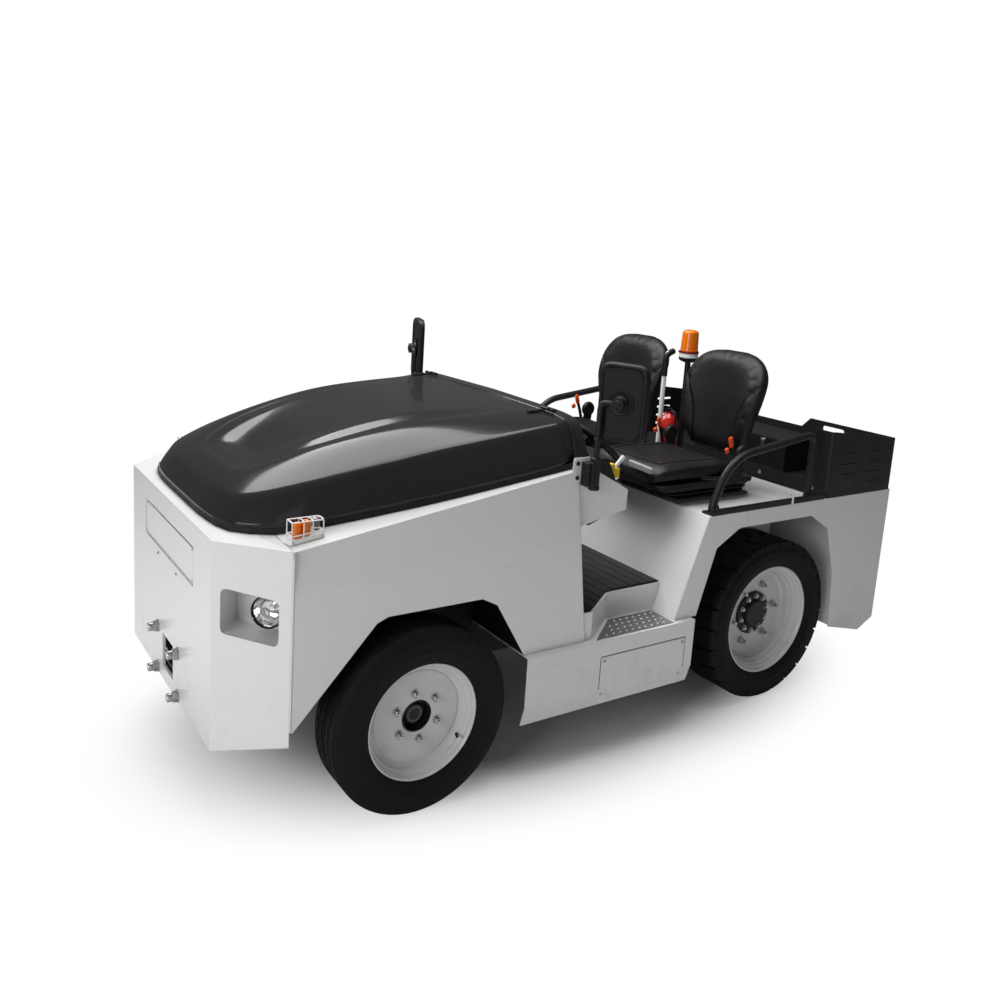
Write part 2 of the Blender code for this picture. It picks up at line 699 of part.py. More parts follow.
# Half outlines from the rear edge to the front centre: reach from the rear edge, half width
# and height over the nose, as shares of the hood's length, half width and rise.
HOOD_BASE_SHARES = ((0.0, 1.0), (0.252, 0.977), (0.497, 0.944), (0.765, 0.867), (0.880, 0.798),
                    (0.970, 0.664), (0.996, 0.435), (1.0, 0.214), (1.0, 0.0))
HOOD_SHOULDER_SHARES = ((0.0, 0.885, 0.933), (0.252, 0.873, 0.798), (0.497, 0.855, 0.681),
                        (0.741, 0.809, 0.491), (0.856, 0.733, 0.380), (0.936, 0.611, 0.298),
                        (0.962, 0.405, 0.287), (0.966, 0.198, 0.287), (0.966, 0.0, 0.287))
HOOD_CROWN_SHARES = ((0.0, 0.687, 0.982), (0.252, 0.656, 0.959), (0.473, 0.611, 0.901),
                     (0.694, 0.550, 0.716), (0.804, 0.489, 0.570), (0.875, 0.397, 0.462),
                     (0.899, 0.275, 0.424), (0.903, 0.137, 0.424), (0.903, 0.0, 0.424))


def refined(points):
    """Adds a point on a smooth curve between each two of a half outline."""
    line = [np.array(p) for p in points]
    before = line[0] * 2 - line[1]
    after = line[-2] * np.array((-1.0, 1.0, 1.0))
    line = [before] + line + [after]
    out = []
    for i in range(1, len(line) - 2):
        a, b, c, d = line[i - 1:i + 3]
        out += [line[i], (b + c) / 2 + (b + c - a - d) / 16]
    out.append(line[-2])
    return [tuple(float(v) for v in p) for p in out]


def hood_base():
    """Lower edge of the hood, which stands on the seal."""
    flat = [(HOOD_HALF * wide, HOOD_REAR_Y - HOOD_LENGTH * reach, 0.0)
            for reach, wide in HOOD_BASE_SHARES]
    return [(x, y, strip_z(y) + SEAL_HEIGHT) for x, y, z in refined(flat)]


def hood_level(shares):
    rise = HOOD_TOP_Z - NOSE_TOP_Z
    return refined([(HOOD_HALF * wide, HOOD_REAR_Y - HOOD_LENGTH * reach,
                     NOSE_TOP_Z + rise * high) for reach, wide, high in shares])


def full_ring(points):
    """The whole outline from a left half: rear left, front centre, rear right."""
    return points + [(-x, y, z) for x, y, z in points[-2::-1]]


def plan_inset(points, distance):
    """Moves a full outline inwards in plan, keeping its rear ends on their plane."""
    out = []
    for i, point in enumerate(points):
        a = Vector(points[max(i - 1, 0)]).xy
        b = Vector(points[min(i + 1, len(points) - 1)]).xy
        direction = (b - a).normalized()
        inward = Vector((direction.y, -direction.x))
        if i in (0, len(points) - 1):
            inward = Vector((-math.copysign(1.0, point[0]), 0.0))
        out.append((point[0] + inward.x * distance, point[1] + inward.y * distance, point[2]))
    return out


def dropped(points, drop):
    return [(x, y, z - drop) for x, y, z in points]


def hood():
    base = hood_base()
    shoulder = hood_level(HOOD_SHOULDER_SHARES)
    crown = hood_level(HOOD_CROWN_SHARES)
    bm = bmesh.new()
    outer = [full_ring(base), full_ring(shoulder), full_ring(crown)]
    inner = [plan_inset(outer[0], HOOD_SHELL),
             dropped(plan_inset(outer[1], HOOD_SHELL), HOOD_SHELL / 2),
             dropped(plan_inset(outer[2], HOOD_SHELL / 2), HOOD_SHELL)]
    layers = []
    for rings, drop in ((outer, 0.0), (inner, HOOD_SHELL)):
        loops = [[bm.verts.new(p) for p in ring] for ring in rings]
        for a, b in zip(loops, loops[1:]):
            for i in range(len(a) - 1):
                bm.faces.new((a[i], a[i + 1], b[i + 1], b[i]))
        top = loops[-1]
        last = len(top) // 2
        rise = HOOD_TOP_Z - crown[0][2]
        spine = [bm.verts.new((0.0, top[i].co.y, top[i].co.z + rise)) for i in range(last)]
        for i in range(last - 1):
            bm.faces.new((top[i], top[i + 1], spine[i + 1], spine[i]))
            bm.faces.new((spine[i], spine[i + 1], top[-2 - i], top[-1 - i]))
        bm.faces.new((top[last - 1], top[last], spine[last - 1]))
        bm.faces.new((spine[last - 1], top[last], top[last + 1]))
        edge = [loop[0] for loop in loops] + [spine[0]] + [loop[-1] for loop in loops[::-1]]
        layers.append((loops[0], edge))
    (foot, edge), (inner_foot, inner_edge) = layers
    for a, b in ((foot, inner_foot), (edge, inner_edge)):
        for i in range(len(a) - 1):
            bm.faces.new((a[i], a[i + 1], b[i + 1], b[i]))
    cover = finish("hood", bm, DARK, HOOD_SMOOTH_DEGREES)
    hang(pivot("hood_axis", (0.0, HOOD_REAR_Y, HOOD_TOP_Z + HOOD_AXIS_RISE)), cover)
    return base, shoulder, crown


def hood_seal(base):
    """A rubber strip on the body under the hood's lower edge."""
    outer = dropped(full_ring(base), GAP)
    inner = plan_inset(outer, SEAL_WIDTH)
    height = SEAL_HEIGHT - GAP * 2
    rings = [[a, b, (b[0], b[1], b[2] - height), (a[0], a[1], a[2] - height)]
             for a, b in zip(outer, inner)]
    skin("hood_seal", rings, RUBBER)


def arch_section(base, shoulder, crown, grow, y):
    """The hood's rear section, grown outwards, as a full arch."""
    half = [(base[0][0] + grow, PANEL_TOP_REAR_Z + GAP), (base[0][0] + grow, base[0][2] + grow),
            (shoulder[0][0] + grow, shoulder[0][2] + grow), (crown[0][0], crown[0][2] + grow),
            (0.0, HOOD_TOP_Z + grow)]
    left = [(x, y, z) for x, z in half]
    return left + [(-x, yy, z) for x, yy, z in left[-2::-1]]


def cowl(base, shoulder, crown):
    """The fixed arch behind the hood."""
    front = HOOD_REAR_Y + COWL_GAP
    rings = []
    for y in (front, front + COWL_DEPTH):
        outer = arch_section(base, shoulder, crown, GAP, y)
        inner = arch_section(base, shoulder, crown, -HOOD_SHELL * 2, y)
        rings.append(outer + inner[::-1])
    skin("cowl", rings, DARK, smooth_degrees=HOOD_SMOOTH_DEGREES)


# Dashboard

def dashboard(base, shoulder):
    front = HOOD_REAR_Y + COWL_GAP + COWL_DEPTH + GAP
    top = DASH_TOP_Z
    outline = [(front, DASH_LOW_Z), (DASH_REAR_Y, DASH_LIP_LOW_Z), (DASH_REAR_Y, DASH_LIP_HIGH_Z),
               (front + COWL_DEPTH, top - PLATE), (front, top)]
    body = prism("dash", outline, "x", -DASH_HALF, DASH_HALF, BLACK)
    out = DASH_HALF + CUT_OVERRUN
    high = top + CUT_OVERRUN
    for side in (-1, 1):
        bevel = [(out * side, WING_FRONT_Z), (DASH_HALF * side, WING_FRONT_Z),
                 ((HOOD_HALF - PLATE) * side, WING_FRONT_Z + PLATE),
                 ((shoulder[0][0] - PLATE) * side, high), (out * side, high)]
        cut(body, prism("dash_bevel_" + side_name(side), bevel, "y", front - CUT_OVERRUN,
                        DASH_LIP_Y + CUT_OVERRUN, None))
    tongue = HOOD_REAR_Y + COWL_GAP - WING_TONGUE
    tongue_z = strip_z(tongue) - SHEET * 4
    for side in (-1, 1):
        ends = sorted(((DASH_HALF + GAP) * side, (DASH_HALF + GAP + WING_SHEET) * side))
        wing = [(HOOD_REAR_Y + COWL_GAP, WING_FRONT_Z), (DASH_LIP_Y, DASH_LIP_HIGH_Z),
                (DASH_LIP_Y, DASH_LIP_LOW_Z), (tongue, DASH_LOW_Z - PLATE), (tongue, tongue_z),
                (HOOD_REAR_Y + COWL_GAP, tongue_z)]
        prism("dash_wing_" + side_name(side), wing, "x", ends[0], ends[1], WHITE)
    tilt = math.radians(STEERING_TILT_DEGREES)
    direction = Vector((0.0, math.sin(tilt), math.cos(tilt)))
    foot = Vector((STEERING_X, STEERING_BASE_Y, STEERING_BASE_Z))
    head = foot + direction * STEERING_COLUMN_LENGTH
    column = cylinder("steering_column", foot, head, STEERING_COLUMN_RADIUS, BLACK)
    cut(body, cylinder("column_socket", foot - direction * GAP, head,
                       STEERING_COLUMN_RADIUS + GAP, None))
    wheel(head, direction, tilt)
    return column


def wheel(head, direction, tilt):
    """Steering wheel: rim, three spokes and a hub, on the column's axis."""
    seat = head + direction * GAP
    height = STEERING_RIM * 3
    hub = cylinder("steering_wheel", seat, seat + direction * height, STEERING_COLUMN_RADIUS, BLACK)
    centre = seat + direction * height / 2
    side = Vector((1.0, 0.0, 0.0))
    other = direction.cross(side)
    bm = bmesh.new()
    steps = 32
    sides = 6
    rings = []
    for k in range(steps):
        a = 2 * math.pi * k / steps
        radial = side * math.cos(a) + other * math.sin(a)
        rings.append([bm.verts.new(centre + radial * (STEERING_RADIUS + STEERING_RIM * math.cos(t))
                                   + direction * STEERING_RIM * math.sin(t))
                      for t in (2 * math.pi * j / sides for j in range(sides))])
    for k in range(steps):
        a = rings[k]
        b = rings[(k + 1) % steps]
        for j in range(sides):
            n = (j + 1) % sides
            bm.faces.new((a[j], a[n], b[n], b[j]))
    rim = finish("steering_rim_guide", bm, None)
    fuse(hub, rim)
    for k in range(3):
        a = math.pi / 2 + 2 * math.pi * k / 3
        radial = side * math.cos(a) + other * math.sin(a)
        spoke = cylinder("steering_spoke_%d" % k, centre, centre + radial * STEERING_RADIUS,
                         STEERING_RIM * SPOKE_SHARE, None, segments=8)
        fuse(hub, spoke)
    hang(pivot("steering_axis", seat, (-tilt, 0.0, 0.0)), hub)


# Floor, skirts and steps

def floor():
    half = FLOOR_HALF
    front = HOOD_REAR_Y + COWL_GAP
    rear = riser_y(FLOOR_Z)
    corner = SIDE_X - SHEET - GAP
    outline = [(-half, rear), (-half, STEP_CORNER_Y), (-corner, STEP_FRONT_Y), (-corner, front),
               (corner, front), (corner, STEP_FRONT_Y), (half, STEP_CORNER_Y), (half, rear)]
    plate = prism("floor_plate", outline, "z", SKIRT_TOP_Z + GAP, FLOOR_Z, WHITE)
    wall = half - SHEET
    back = riser_y(SKIRT_TOP_Z) - SHEET * 2
    hollow = [(-wall, back), (-wall, front + SHEET), (wall, front + SHEET), (wall, back)]
    cut(plate, prism("floor_hollow", hollow, "z", SKIRT_TOP_Z - CUT_OVERRUN, FLOOR_Z - SHEET, None))
    low = SKIRT_TOP_Z - CUT_OVERRUN
    high = FLOOR_Z + CUT_OVERRUN
    clear = GAP * 2
    wedge = [(riser_y(low) - clear, low), (riser_y(high) - clear, high),
             (riser_y(high) + CUT_OVERRUN * 4, high), (riser_y(high) + CUT_OVERRUN * 4, low)]
    cut(plate, prism("floor_riser_cut", wedge, "x", -SIDE_X, SIDE_X, None))
    inset = MAT_INSET
    mat = [(-half + inset, rear - inset), (-half + inset, STEP_CORNER_Y - inset),
           (-corner + inset, STEP_FRONT_Y - inset), (-corner + inset, front + inset),
           (corner - inset, front + inset), (corner - inset, STEP_FRONT_Y - inset),
           (half - inset, STEP_CORNER_Y - inset), (half - inset, rear - inset)]
    prism("floor_mat", mat, "z", FLOOR_Z + GAP, FLOOR_Z + MAT_THICKNESS, RUBBER)
    for side in (-1, 1):
        skirt(side)


def riser_y(z):
    """Where the inclined riser stands at a height."""
    return RISER_LOW_Y + (z - RISER_LOW_Z) * (RISER_TOP_Y - RISER_LOW_Y) / (DECK_Z - RISER_LOW_Z)


def skirt(side):
    label = side_name(side)
    outer = SKIRT_X
    tuck = outer - SKIRT_TUCK
    inner = FRAME_HALF + GAP
    top = SKIRT_TOP_Z
    section = [(outer, top), (outer, SKIRT_FOLD_Z), (tuck, SKIRT_LOW_Z), (tuck - SHEET, SKIRT_LOW_Z),
               (outer - SHEET, SKIRT_FOLD_Z), (outer - SHEET, top - SHEET), (inner, top - SHEET),
               (inner, top)]
    rings = [[(x * side, y, z) for x, z in section] for y in (SKIRT_FRONT_Y, SKIRT_REAR_Y)]
    skin("skirt_" + label, rings, WHITE)


# Seat riser, deck and rear body

def rear_body():
    side = SIDE_X - SHEET - GAP
    slope = (RISER_TOP_Y - RISER_LOW_Y) / (DECK_Z - RISER_LOW_Z)
    low_y = RISER_LOW_Y
    low_z = RISER_LOW_Z
    sheet = [(low_y, low_z), (RISER_TOP_Y, DECK_Z), (DECK_REAR_Y, DECK_Z),
             (DECK_REAR_Y, DECK_Z - SHEET), (RISER_TOP_Y + SHEET, DECK_Z - SHEET),
             (low_y + SHEET * 2, low_z)]
    deck = prism("seat_deck", sheet, "x", -side, side, WHITE)
    core = [(low_y + SHEET, low_z), (RISER_TOP_Y + SHEET / 2, DECK_Z - SHEET / 2),
            (DECK_REAR_Y, DECK_Z - SHEET / 2), (DECK_REAR_Y, CORE_LOW_Z + AXLE_RADIUS * 2),
            (REAR_AXLE_Y - DIFF_RADIUS, CORE_LOW_Z + AXLE_RADIUS * 2),
            (REAR_AXLE_Y - DIFF_RADIUS, low_z)]
    fuse(deck, prism("deck_core", core, "x", -CORE_HALF, CORE_HALF, None))
    for k in (-1, 1):
        fender(k, slope)
    tail()
    rear_box()


def fender(side, slope):
    label = side_name(side)
    top = DECK_Z
    outline = [(RISER_LOW_Y, RISER_LOW_Z), (FENDER_ARCH_LOW_Y, RISER_LOW_Z),
               (FENDER_ARCH_FRONT_Y, FENDER_ARCH_FRONT_Z),
               (FENDER_ARCH_TOP_FRONT_Y, FENDER_ARCH_TOP_Z),
               (FENDER_ARCH_TOP_REAR_Y, FENDER_ARCH_TOP_Z),
               (FENDER_ARCH_REAR_Y, FENDER_ARCH_REAR_Z), (FENDER_ARCH_BACK_Y, FENDER_ARCH_BACK_Z),
               (FENDER_FOOT_Y, FENDER_FOOT_Z), (FENDER_LOW_Y, FENDER_LOW_Z),
               (REAR_Y, FENDER_TAIL_Z), (REAR_Y, top), (RISER_TOP_Y, top)]
    ends = sorted((SIDE_X * side, (SIDE_X - SHEET) * side))
    prism("fender_" + label, outline, "x", ends[0], ends[1], WHITE)


def tail():
    half = SIDE_X - SHEET - GAP
    outline = [(TAIL_FRONT_Y, FENDER_FOOT_Z), (FENDER_LOW_Y, FENDER_LOW_Z), (REAR_Y, FENDER_TAIL_Z),
               (REAR_Y, DECK_Z - GAP), (TAIL_FRONT_Y, DECK_Z - GAP)]
    block_tail = prism("tail_block", outline, "x", -half, half, WHITE)
    cut(block_tail, block("hitch_pocket", (-HITCH_HALF - GAP, HITCH_HALF + GAP),
                          (REAR_Y - HITCH_PIN_INSET * 2, REAR_Y + CUT_OVERRUN),
                          (HITCH_LOW_Z - GAP, HITCH_LOW_Z + HITCH_HEIGHT + HITCH_PLATE
                           + HITCH_PIN_TRAVEL + HITCH_CLEARANCE), None))
    jaw = block("tow_hitch", (-HITCH_HALF, HITCH_HALF),
                (REAR_Y - HITCH_PIN_INSET * 2 + GAP, REAR_Y + HITCH_REACH),
                (HITCH_LOW_Z, HITCH_LOW_Z + HITCH_HEIGHT), BLACK)
    cut(jaw, block("jaw_mouth", (-HITCH_HALF - CUT_OVERRUN, HITCH_HALF + CUT_OVERRUN),
                   (REAR_Y - HITCH_MOUTH_DEPTH, REAR_Y + HITCH_REACH + CUT_OVERRUN),
                   (HITCH_LOW_Z + HITCH_PLATE, HITCH_LOW_Z + HITCH_HEIGHT - HITCH_PLATE), None))
    pin_y = REAR_Y - HITCH_PIN_INSET + HITCH_REACH
    bore = HITCH_PIN_RADIUS + GAP * 3
    top = HITCH_LOW_Z + HITCH_HEIGHT
    cut(jaw, cylinder("pin_bore", (0.0, pin_y, HITCH_LOW_Z + HITCH_PLATE / 3),
                      (0.0, pin_y, top + CUT_OVERRUN), bore, None))
    pin = cylinder("tow_pin", (0.0, pin_y, HITCH_LOW_Z + HITCH_PLATE / 3 + GAP),
                   (0.0, pin_y, top + HITCH_PLATE), HITCH_PIN_RADIUS, STEEL)
    fuse(pin, cylinder("pin_head", (0.0, pin_y, top + GAP), (0.0, pin_y, top + HITCH_PLATE),
                       HITCH_PIN_RADIUS * 2, None))


def rear_box():
    half = SIDE_X
    low = DECK_Z + GAP
    wall = SHEET
    rounding = BOX_ROUND
    plan = [(-half, BOX_FRONT_Y), (half, BOX_FRONT_Y), (half, REAR_Y), (-half, REAR_Y)]
    inner = [(-half + wall, BOX_FRONT_Y + wall), (half - wall, BOX_FRONT_Y + wall),
             (half - wall, REAR_Y - wall), (-half + wall, REAR_Y - wall)]
    box = prism("rear_box", rounded(plan, rounding), "z", low, BOX_FRONT_Z, BLACK)
    cut(box, prism("box_hollow", rounded(inner, rounding - wall), "z", low + wall,
                   BOX_FRONT_Z + CUT_OVERRUN, None))
    reach = half + CUT_OVERRUN
    high = BOX_FRONT_Z + CUT_OVERRUN * 2
    slope = [(BOX_FRONT_Y + rounding, BOX_FRONT_Z), (REAR_Y + CUT_OVERRUN, BOX_REAR_Z),
             (REAR_Y + CUT_OVERRUN, high), (BOX_FRONT_Y + rounding, high)]
    cut(box, prism("box_slope", slope, "x", -reach, reach, None))
    dip = [(-BOX_DIP_HALF, BOX_DIP_Z), (BOX_DIP_HALF, BOX_DIP_Z),
           (BOX_DIP_HALF + BOX_DIP_SLOPE * 2, high), (-BOX_DIP_HALF - BOX_DIP_SLOPE * 2, high)]
    cut(box, prism("box_dip", dip, "y", REAR_Y - wall * 2, REAR_Y + CUT_OVERRUN, None))
    cut(box, block("box_mouth", (-BOX_LIP_HALF, BOX_LIP_HALF),
                   (BOX_FRONT_Y - CUT_OVERRUN, BOX_FRONT_Y + wall * 2), (BOX_LIP_Z, high), None))
    for side in (-1, 1):
        label = side_name(side)
        middle = BOX_SLOT_CENTRE_X * side
        slot = [(middle - BOX_SLOT_LENGTH / 2, BOX_SLOT_Z - BOX_SLOT_HEIGHT / 2),
                (middle + BOX_SLOT_LENGTH / 2, BOX_SLOT_Z - BOX_SLOT_HEIGHT / 2),
                (middle + BOX_SLOT_LENGTH / 2, BOX_SLOT_Z + BOX_SLOT_HEIGHT / 2),
                (middle - BOX_SLOT_LENGTH / 2, BOX_SLOT_Z + BOX_SLOT_HEIGHT / 2)]
        cut(box, prism("hand_slot_" + label, rounded(slot, BOX_SLOT_HEIGHT / 2, 3), "y",
                       REAR_Y - wall * 2, REAR_Y + CUT_OVERRUN, None))
        ends = sorted(((half - wall * 2) * side, reach * side))
        for column, share in enumerate(LOUVRE_COLUMN_SHARES):
            y = BOX_FRONT_Y + BOX_LENGTH * share
            for row in range(LOUVRE_ROWS):
                z = LOUVRE_FIRST_Z + LOUVRE_PITCH * row
                cut(box, block("louvre_%s_%d_%d" % (label, column, row), ends,
                               (y - LOUVRE_LENGTH / 2, y + LOUVRE_LENGTH / 2),
                               (z - LOUVRE_HEIGHT / 2, z + LOUVRE_HEIGHT / 2), None))
    block("locker", (-LOCKER_HALF, LOCKER_HALF), (LOCKER_FRONT_Y, REAR_Y - wall - GAP),
          (low + wall + GAP, LOCKER_TOP_Z), BLACK)


# Seats

def seats():
    for side in (-1, 1):
        seat(side)


def seat(side):
    label = side_name(side)
    x = SEAT_X * side
    low = DECK_Z + GAP
    base = [(x - SUSPENSION_HALF, SUSPENSION_FRONT_Y), (x + SUSPENSION_HALF, SUSPENSION_FRONT_Y),
            (x + SUSPENSION_HALF, SUSPENSION_REAR_Y), (x - SUSPENSION_HALF, SUSPENSION_REAR_Y)]
    prism("seat_base_" + label, rounded(base, PLATE * 2, 2), "z", low, SEAT_LOW_Z - GAP, BLACK)
    side_shape = [(SEAT_FRONT_Y, SEAT_LOW_Z), (SEAT_REAR_Y, SEAT_LOW_Z),
                  (SEAT_REAR_Y, SEAT_TOP_Z - PLATE), (SEAT_FRONT_Y + SEAT_HALF / 2, SEAT_TOP_Z),
                  (SEAT_FRONT_Y, SEAT_TOP_Z - PLATE * 2)]
    prism("seat_cushion_" + label, rounded(side_shape, PLATE * 2, 3), "x", x - SEAT_HALF,
          x + SEAT_HALF, VINYL, 35.0)
    rings = []
    height = BACK_TOP_Z - BACK_LOW_Z
    for share, wide in BACK_SHARES:
        z = BACK_LOW_Z + height * share
        y = SEAT_REAR_Y + BACK_LEAN * share
        half = BACK_HALF * wide
        deep = BACK_THICKNESS * (1.0 - BACK_TAPER_SHARE * share)
        front = y + GAP
        plan = [(x - half, front), (x + half, front), (x + half * BACK_REAR_SHARE, front + deep),
                (x - half * BACK_REAR_SHARE, front + deep)]
        rings.append([(px, py, z) for px, py in rounded(plan, BACK_THICKNESS / 4, 3)])
    skin("seat_back_" + label, rings, VINYL, smooth_degrees=35.0)


BACK_SHARES = ((0.0, 0.78), (0.12, 0.90), (0.30, 1.0), (0.55, 1.0), (0.75, 0.93), (0.90, 0.76),
               (0.97, 0.58), (1.0, 0.42))


# Handrails, mirrors, beacon and small pieces

def carried():
    for side in (-1, 1):
        label = side_name(side)
        x = RAIL_X * side
        low = DECK_Z + GAP
        rail = bent_tube("handrail_" + label,
                         [(x, RAIL_FOOT_Y, low), (x, RAIL_FOOT_Y, low + RAIL_RADIUS * 2),
                          (x, RAIL_RISE_Y, RAIL_BEND_Z),
                          (x, RAIL_RISE_Y + RAIL_RADIUS * 5, RAIL_FRONT_Z),
                          (x, RAIL_REAR_Y, RAIL_REAR_Z), (x, RAIL_REAR_Y, low)],
                         RAIL_RADIUS, DARK)
        mirror(side)
        marker(side)
    beacon()
    lever_and_bottle()


def mirror(side):
    """A mirror turned towards the driver, with its arm in a socket on the dash wing."""
    label = side_name(side)
    post_x = (DASH_HALF + WING_SHEET + MIRROR_SOCKET_RADIUS + GAP * 2) * side
    turn = math.radians(MIRROR_TURN_DEGREES)
    outward = Vector((math.sin(turn) * side, -math.cos(turn), 0.0))
    across = Vector((math.cos(turn) * side, math.sin(turn), 0.0))
    back = Vector((MIRROR_X * side, MIRROR_Y, MIRROR_Z))
    boss_end = back + outward * MIRROR_BOSS_REACH
    arm = bent_tube("mirror_arm_" + label,
                    [(post_x, MIRROR_POST_Y, MIRROR_POST_LOW_Z), (post_x, MIRROR_POST_Y, MIRROR_Z),
                     boss_end - outward * MIRROR_BOSS_REACH / 2], MIRROR_POST_RADIUS, BLACK, bend=MIRROR_ARM_BEND)
    fuse(arm, cylinder("mirror_socket_" + label, (post_x, MIRROR_POST_Y, MIRROR_POST_LOW_Z - GAP * 9),
                       (post_x, MIRROR_POST_Y, MIRROR_POST_LOW_Z + MIRROR_SOCKET_HEIGHT),
                       MIRROR_SOCKET_RADIUS, None, 16))
    fuse(arm, cylinder("mirror_boss_" + label, back + outward * GAP, boss_end,
                       MIRROR_BOSS_RADIUS, None, 16))
    corners = [(-MIRROR_HALF_WIDTH, -MIRROR_HALF_HEIGHT), (MIRROR_HALF_WIDTH, -MIRROR_HALF_HEIGHT),
               (MIRROR_HALF_WIDTH, MIRROR_HALF_HEIGHT), (-MIRROR_HALF_WIDTH, MIRROR_HALF_HEIGHT)]
    outline = rounded(corners, MIRROR_HALF_WIDTH / 2, 4)
    rings = [[back - outward * depth + across * u + Vector((0.0, 0.0, v)) for u, v in outline]
             for depth in (0.0, MIRROR_DEPTH)]
    skin("mirror_" + label, rings, BLACK)


def strip_at(x, y):
    """Height of the side panel's top strip at a place on it."""
    base = [p for p in hood_base()[::-1] if p[1] > CORNER_Y - MARKER_LENGTH]
    inner = np.interp(y, [p[1] for p in base], [p[0] for p in base]) - SEAL_WIDTH
    share = (y - CORNER_Y) / (PANEL_REAR_TOP_Y - CORNER_Y)
    bend_z = BEND_FRONT_Z + (PANEL_TOP_REAR_Z - BEND_FRONT_Z) * share
    return strip_z(y) + (bend_z - strip_z(y)) * (x - inner) / (BEND_X - inner)


def marker(side):
    """A marker lamp standing on the wide front part of the strip."""
    near = MARKER_X - MARKER_DEPTH / 2
    far = MARKER_X + MARKER_DEPTH / 2
    front = MARKER_Y - MARKER_LENGTH / 2
    rear = MARKER_Y + MARKER_LENGTH / 2
    top = strip_z(rear) + MARKER_HEIGHT
    plan = [(near, front), (far, front), (far, rear), (near, rear)]
    low = [(x * side, y, strip_at(x, y) + GAP) for x, y in plan]
    high = [(x * side, y, top) for x, y in plan]
    skin("marker_lamp_" + side_name(side), [low, high], AMBER)


def beacon():
    low = DECK_Z + GAP
    cylinder("beacon_pole", (0.0, BEACON_Y, low), (0.0, BEACON_Y, BEACON_LOW_Z), POLE_RADIUS, BLACK, 16)
    cylinder("beacon", (0.0, BEACON_Y, BEACON_LOW_Z + GAP), (0.0, BEACON_Y, BEACON_TOP_Z),
             BEACON_RADIUS, AMBER, 28, BEACON_RADIUS * BEACON_TAPER_SHARE)


def lever_and_bottle():
    low = DECK_Z + GAP
    bent_tube("parking_lever", [(LEVER_X, LEVER_Y, low), (LEVER_X, LEVER_Y, LEVER_TOP_Z),
                                (LEVER_X, LEVER_Y + LEVER_RADIUS * 4, LEVER_TOP_Z + LEVER_RADIUS)],
              LEVER_RADIUS, WHITE, bend=LEVER_BEND)
    cylinder("extinguisher", (EXTINGUISHER_X, EXTINGUISHER_Y, low),
             (EXTINGUISHER_X, EXTINGUISHER_Y, low + EXTINGUISHER_HEIGHT),
             EXTINGUISHER_RADIUS, RED, 24)


# Axles and wheels

def tyre_profile(rim, flange, radius, width, tread, lugs=False):
    """Closed section of a tyre: offsets from its middle plane and radii."""
    half = width / 2
    flat = tread / 2
    bead = half * BEAD_SHARE - GAP
    wall = radius - rim
    (wide_low, low), middle, (wide_high, high) = SIDEWALL_SHARES
    outer = [(bead, rim), (bead, flange + GAP), (half * wide_low, rim + wall * low),
             (half, rim + wall * middle), (flat + (half - flat) * wide_high, rim + wall * high),
             (flat, radius - wall * TREAD_DROP_SHARE), (flat * TREAD_FLAT_SHARE, radius)]
    if lugs:
        outer.append((flat * LUG_INNER_SHARE, radius))
    return outer + [(-x, r) for x, r in outer[::-1]]


BEAD_SHARE = 0.86
SIDEWALL_SHARES = ((0.98, 0.34), 0.52, (0.55, 0.76))
TREAD_DROP_SHARE = 0.10
TREAD_FLAT_SHARE = 0.92
LUG_INNER_SHARE = 0.12


def lugged(count):
    """Lets every second step of the tread's shoulders down, by turns on the two sides."""
    shoulder = 5

    def step(index, k, r):
        left = index in (shoulder, shoulder + 1)
        right = index in (count - 1 - shoulder, count - 2 - shoulder)
        low = (left and k % 2 == 0) or (right and k % 2 == 1)
        return r - LUG_DEPTH if low else r
    return step


def wheels():
    for side in (-1, 1):
        label = side_name(side)
        front_wheel(side, label)
        rear_wheel(side, label)


def front_wheel(side, label):
    middle = FRONT_WHEEL_X - FRONT_TYRE_WIDTH / 2
    centre = (middle * side, FRONT_AXLE_Y, FRONT_TYRE_RADIUS)
    rim_seat = FRONT_RIM_RADIUS - RIM_LIP
    profile = tyre_profile(rim_seat, FRONT_RIM_RADIUS, FRONT_TYRE_RADIUS, FRONT_TYRE_WIDTH,
                           FRONT_TREAD_WIDTH)
    tyre = turned("front_tyre_" + label, profile, centre, RUBBER, FRONT_SEGMENTS)
    rim_half = FRONT_TYRE_WIDTH * BEAD_SHARE / 2
    rim = rim_body("front_rim_" + label, centre, side, rim_seat - GAP, FRONT_RIM_RADIUS,
                   rim_half, FRONT_DISH, FRONT_HUB_RADIUS, FRONT_HUB_REACH, FRONT_SEGMENTS)
    boss = rim_back(rim_half, FRONT_DISH) + middle
    knuckle(side, label, boss)
    hang(pivot("front_wheel_axis_" + label, centre), tyre, rim)


def rim_back(half, dish):
    """Offset of the disc's inner face from the wheel's middle plane."""
    return half - dish - DISC_PLATE


def rim_body(name, centre, side, seat, flange, half, dish, hub, reach, segments):
    """Barrel, flanges and dished disc with a hub, turned as one closed section."""
    face = half - dish
    back = rim_back(half, dish)
    bore = seat - RIM_WALL
    disc = DISC_PLATE
    profile = [(half, seat), (half, flange), (half + RIM_LIP, flange), (half + RIM_LIP, seat),
               (half - RIM_WALL, bore - RIM_WALL), (face + disc, bore - RIM_WALL),
               (face, bore - RIM_WALL - disc), (face, hub), (face + reach, hub), (face + reach, 0.0),
               (back, 0.0), (back, HUB_RADIUS), (face - disc, bore - RIM_WALL),
               (-half + RIM_WALL, bore - RIM_WALL), (-half - RIM_LIP, seat),
               (-half - RIM_LIP, flange), (-half, flange), (-half, seat)]
    shaped = [(x * side, r) for x, r in profile]
    return turned(name, shaped, centre, WHITE, segments)


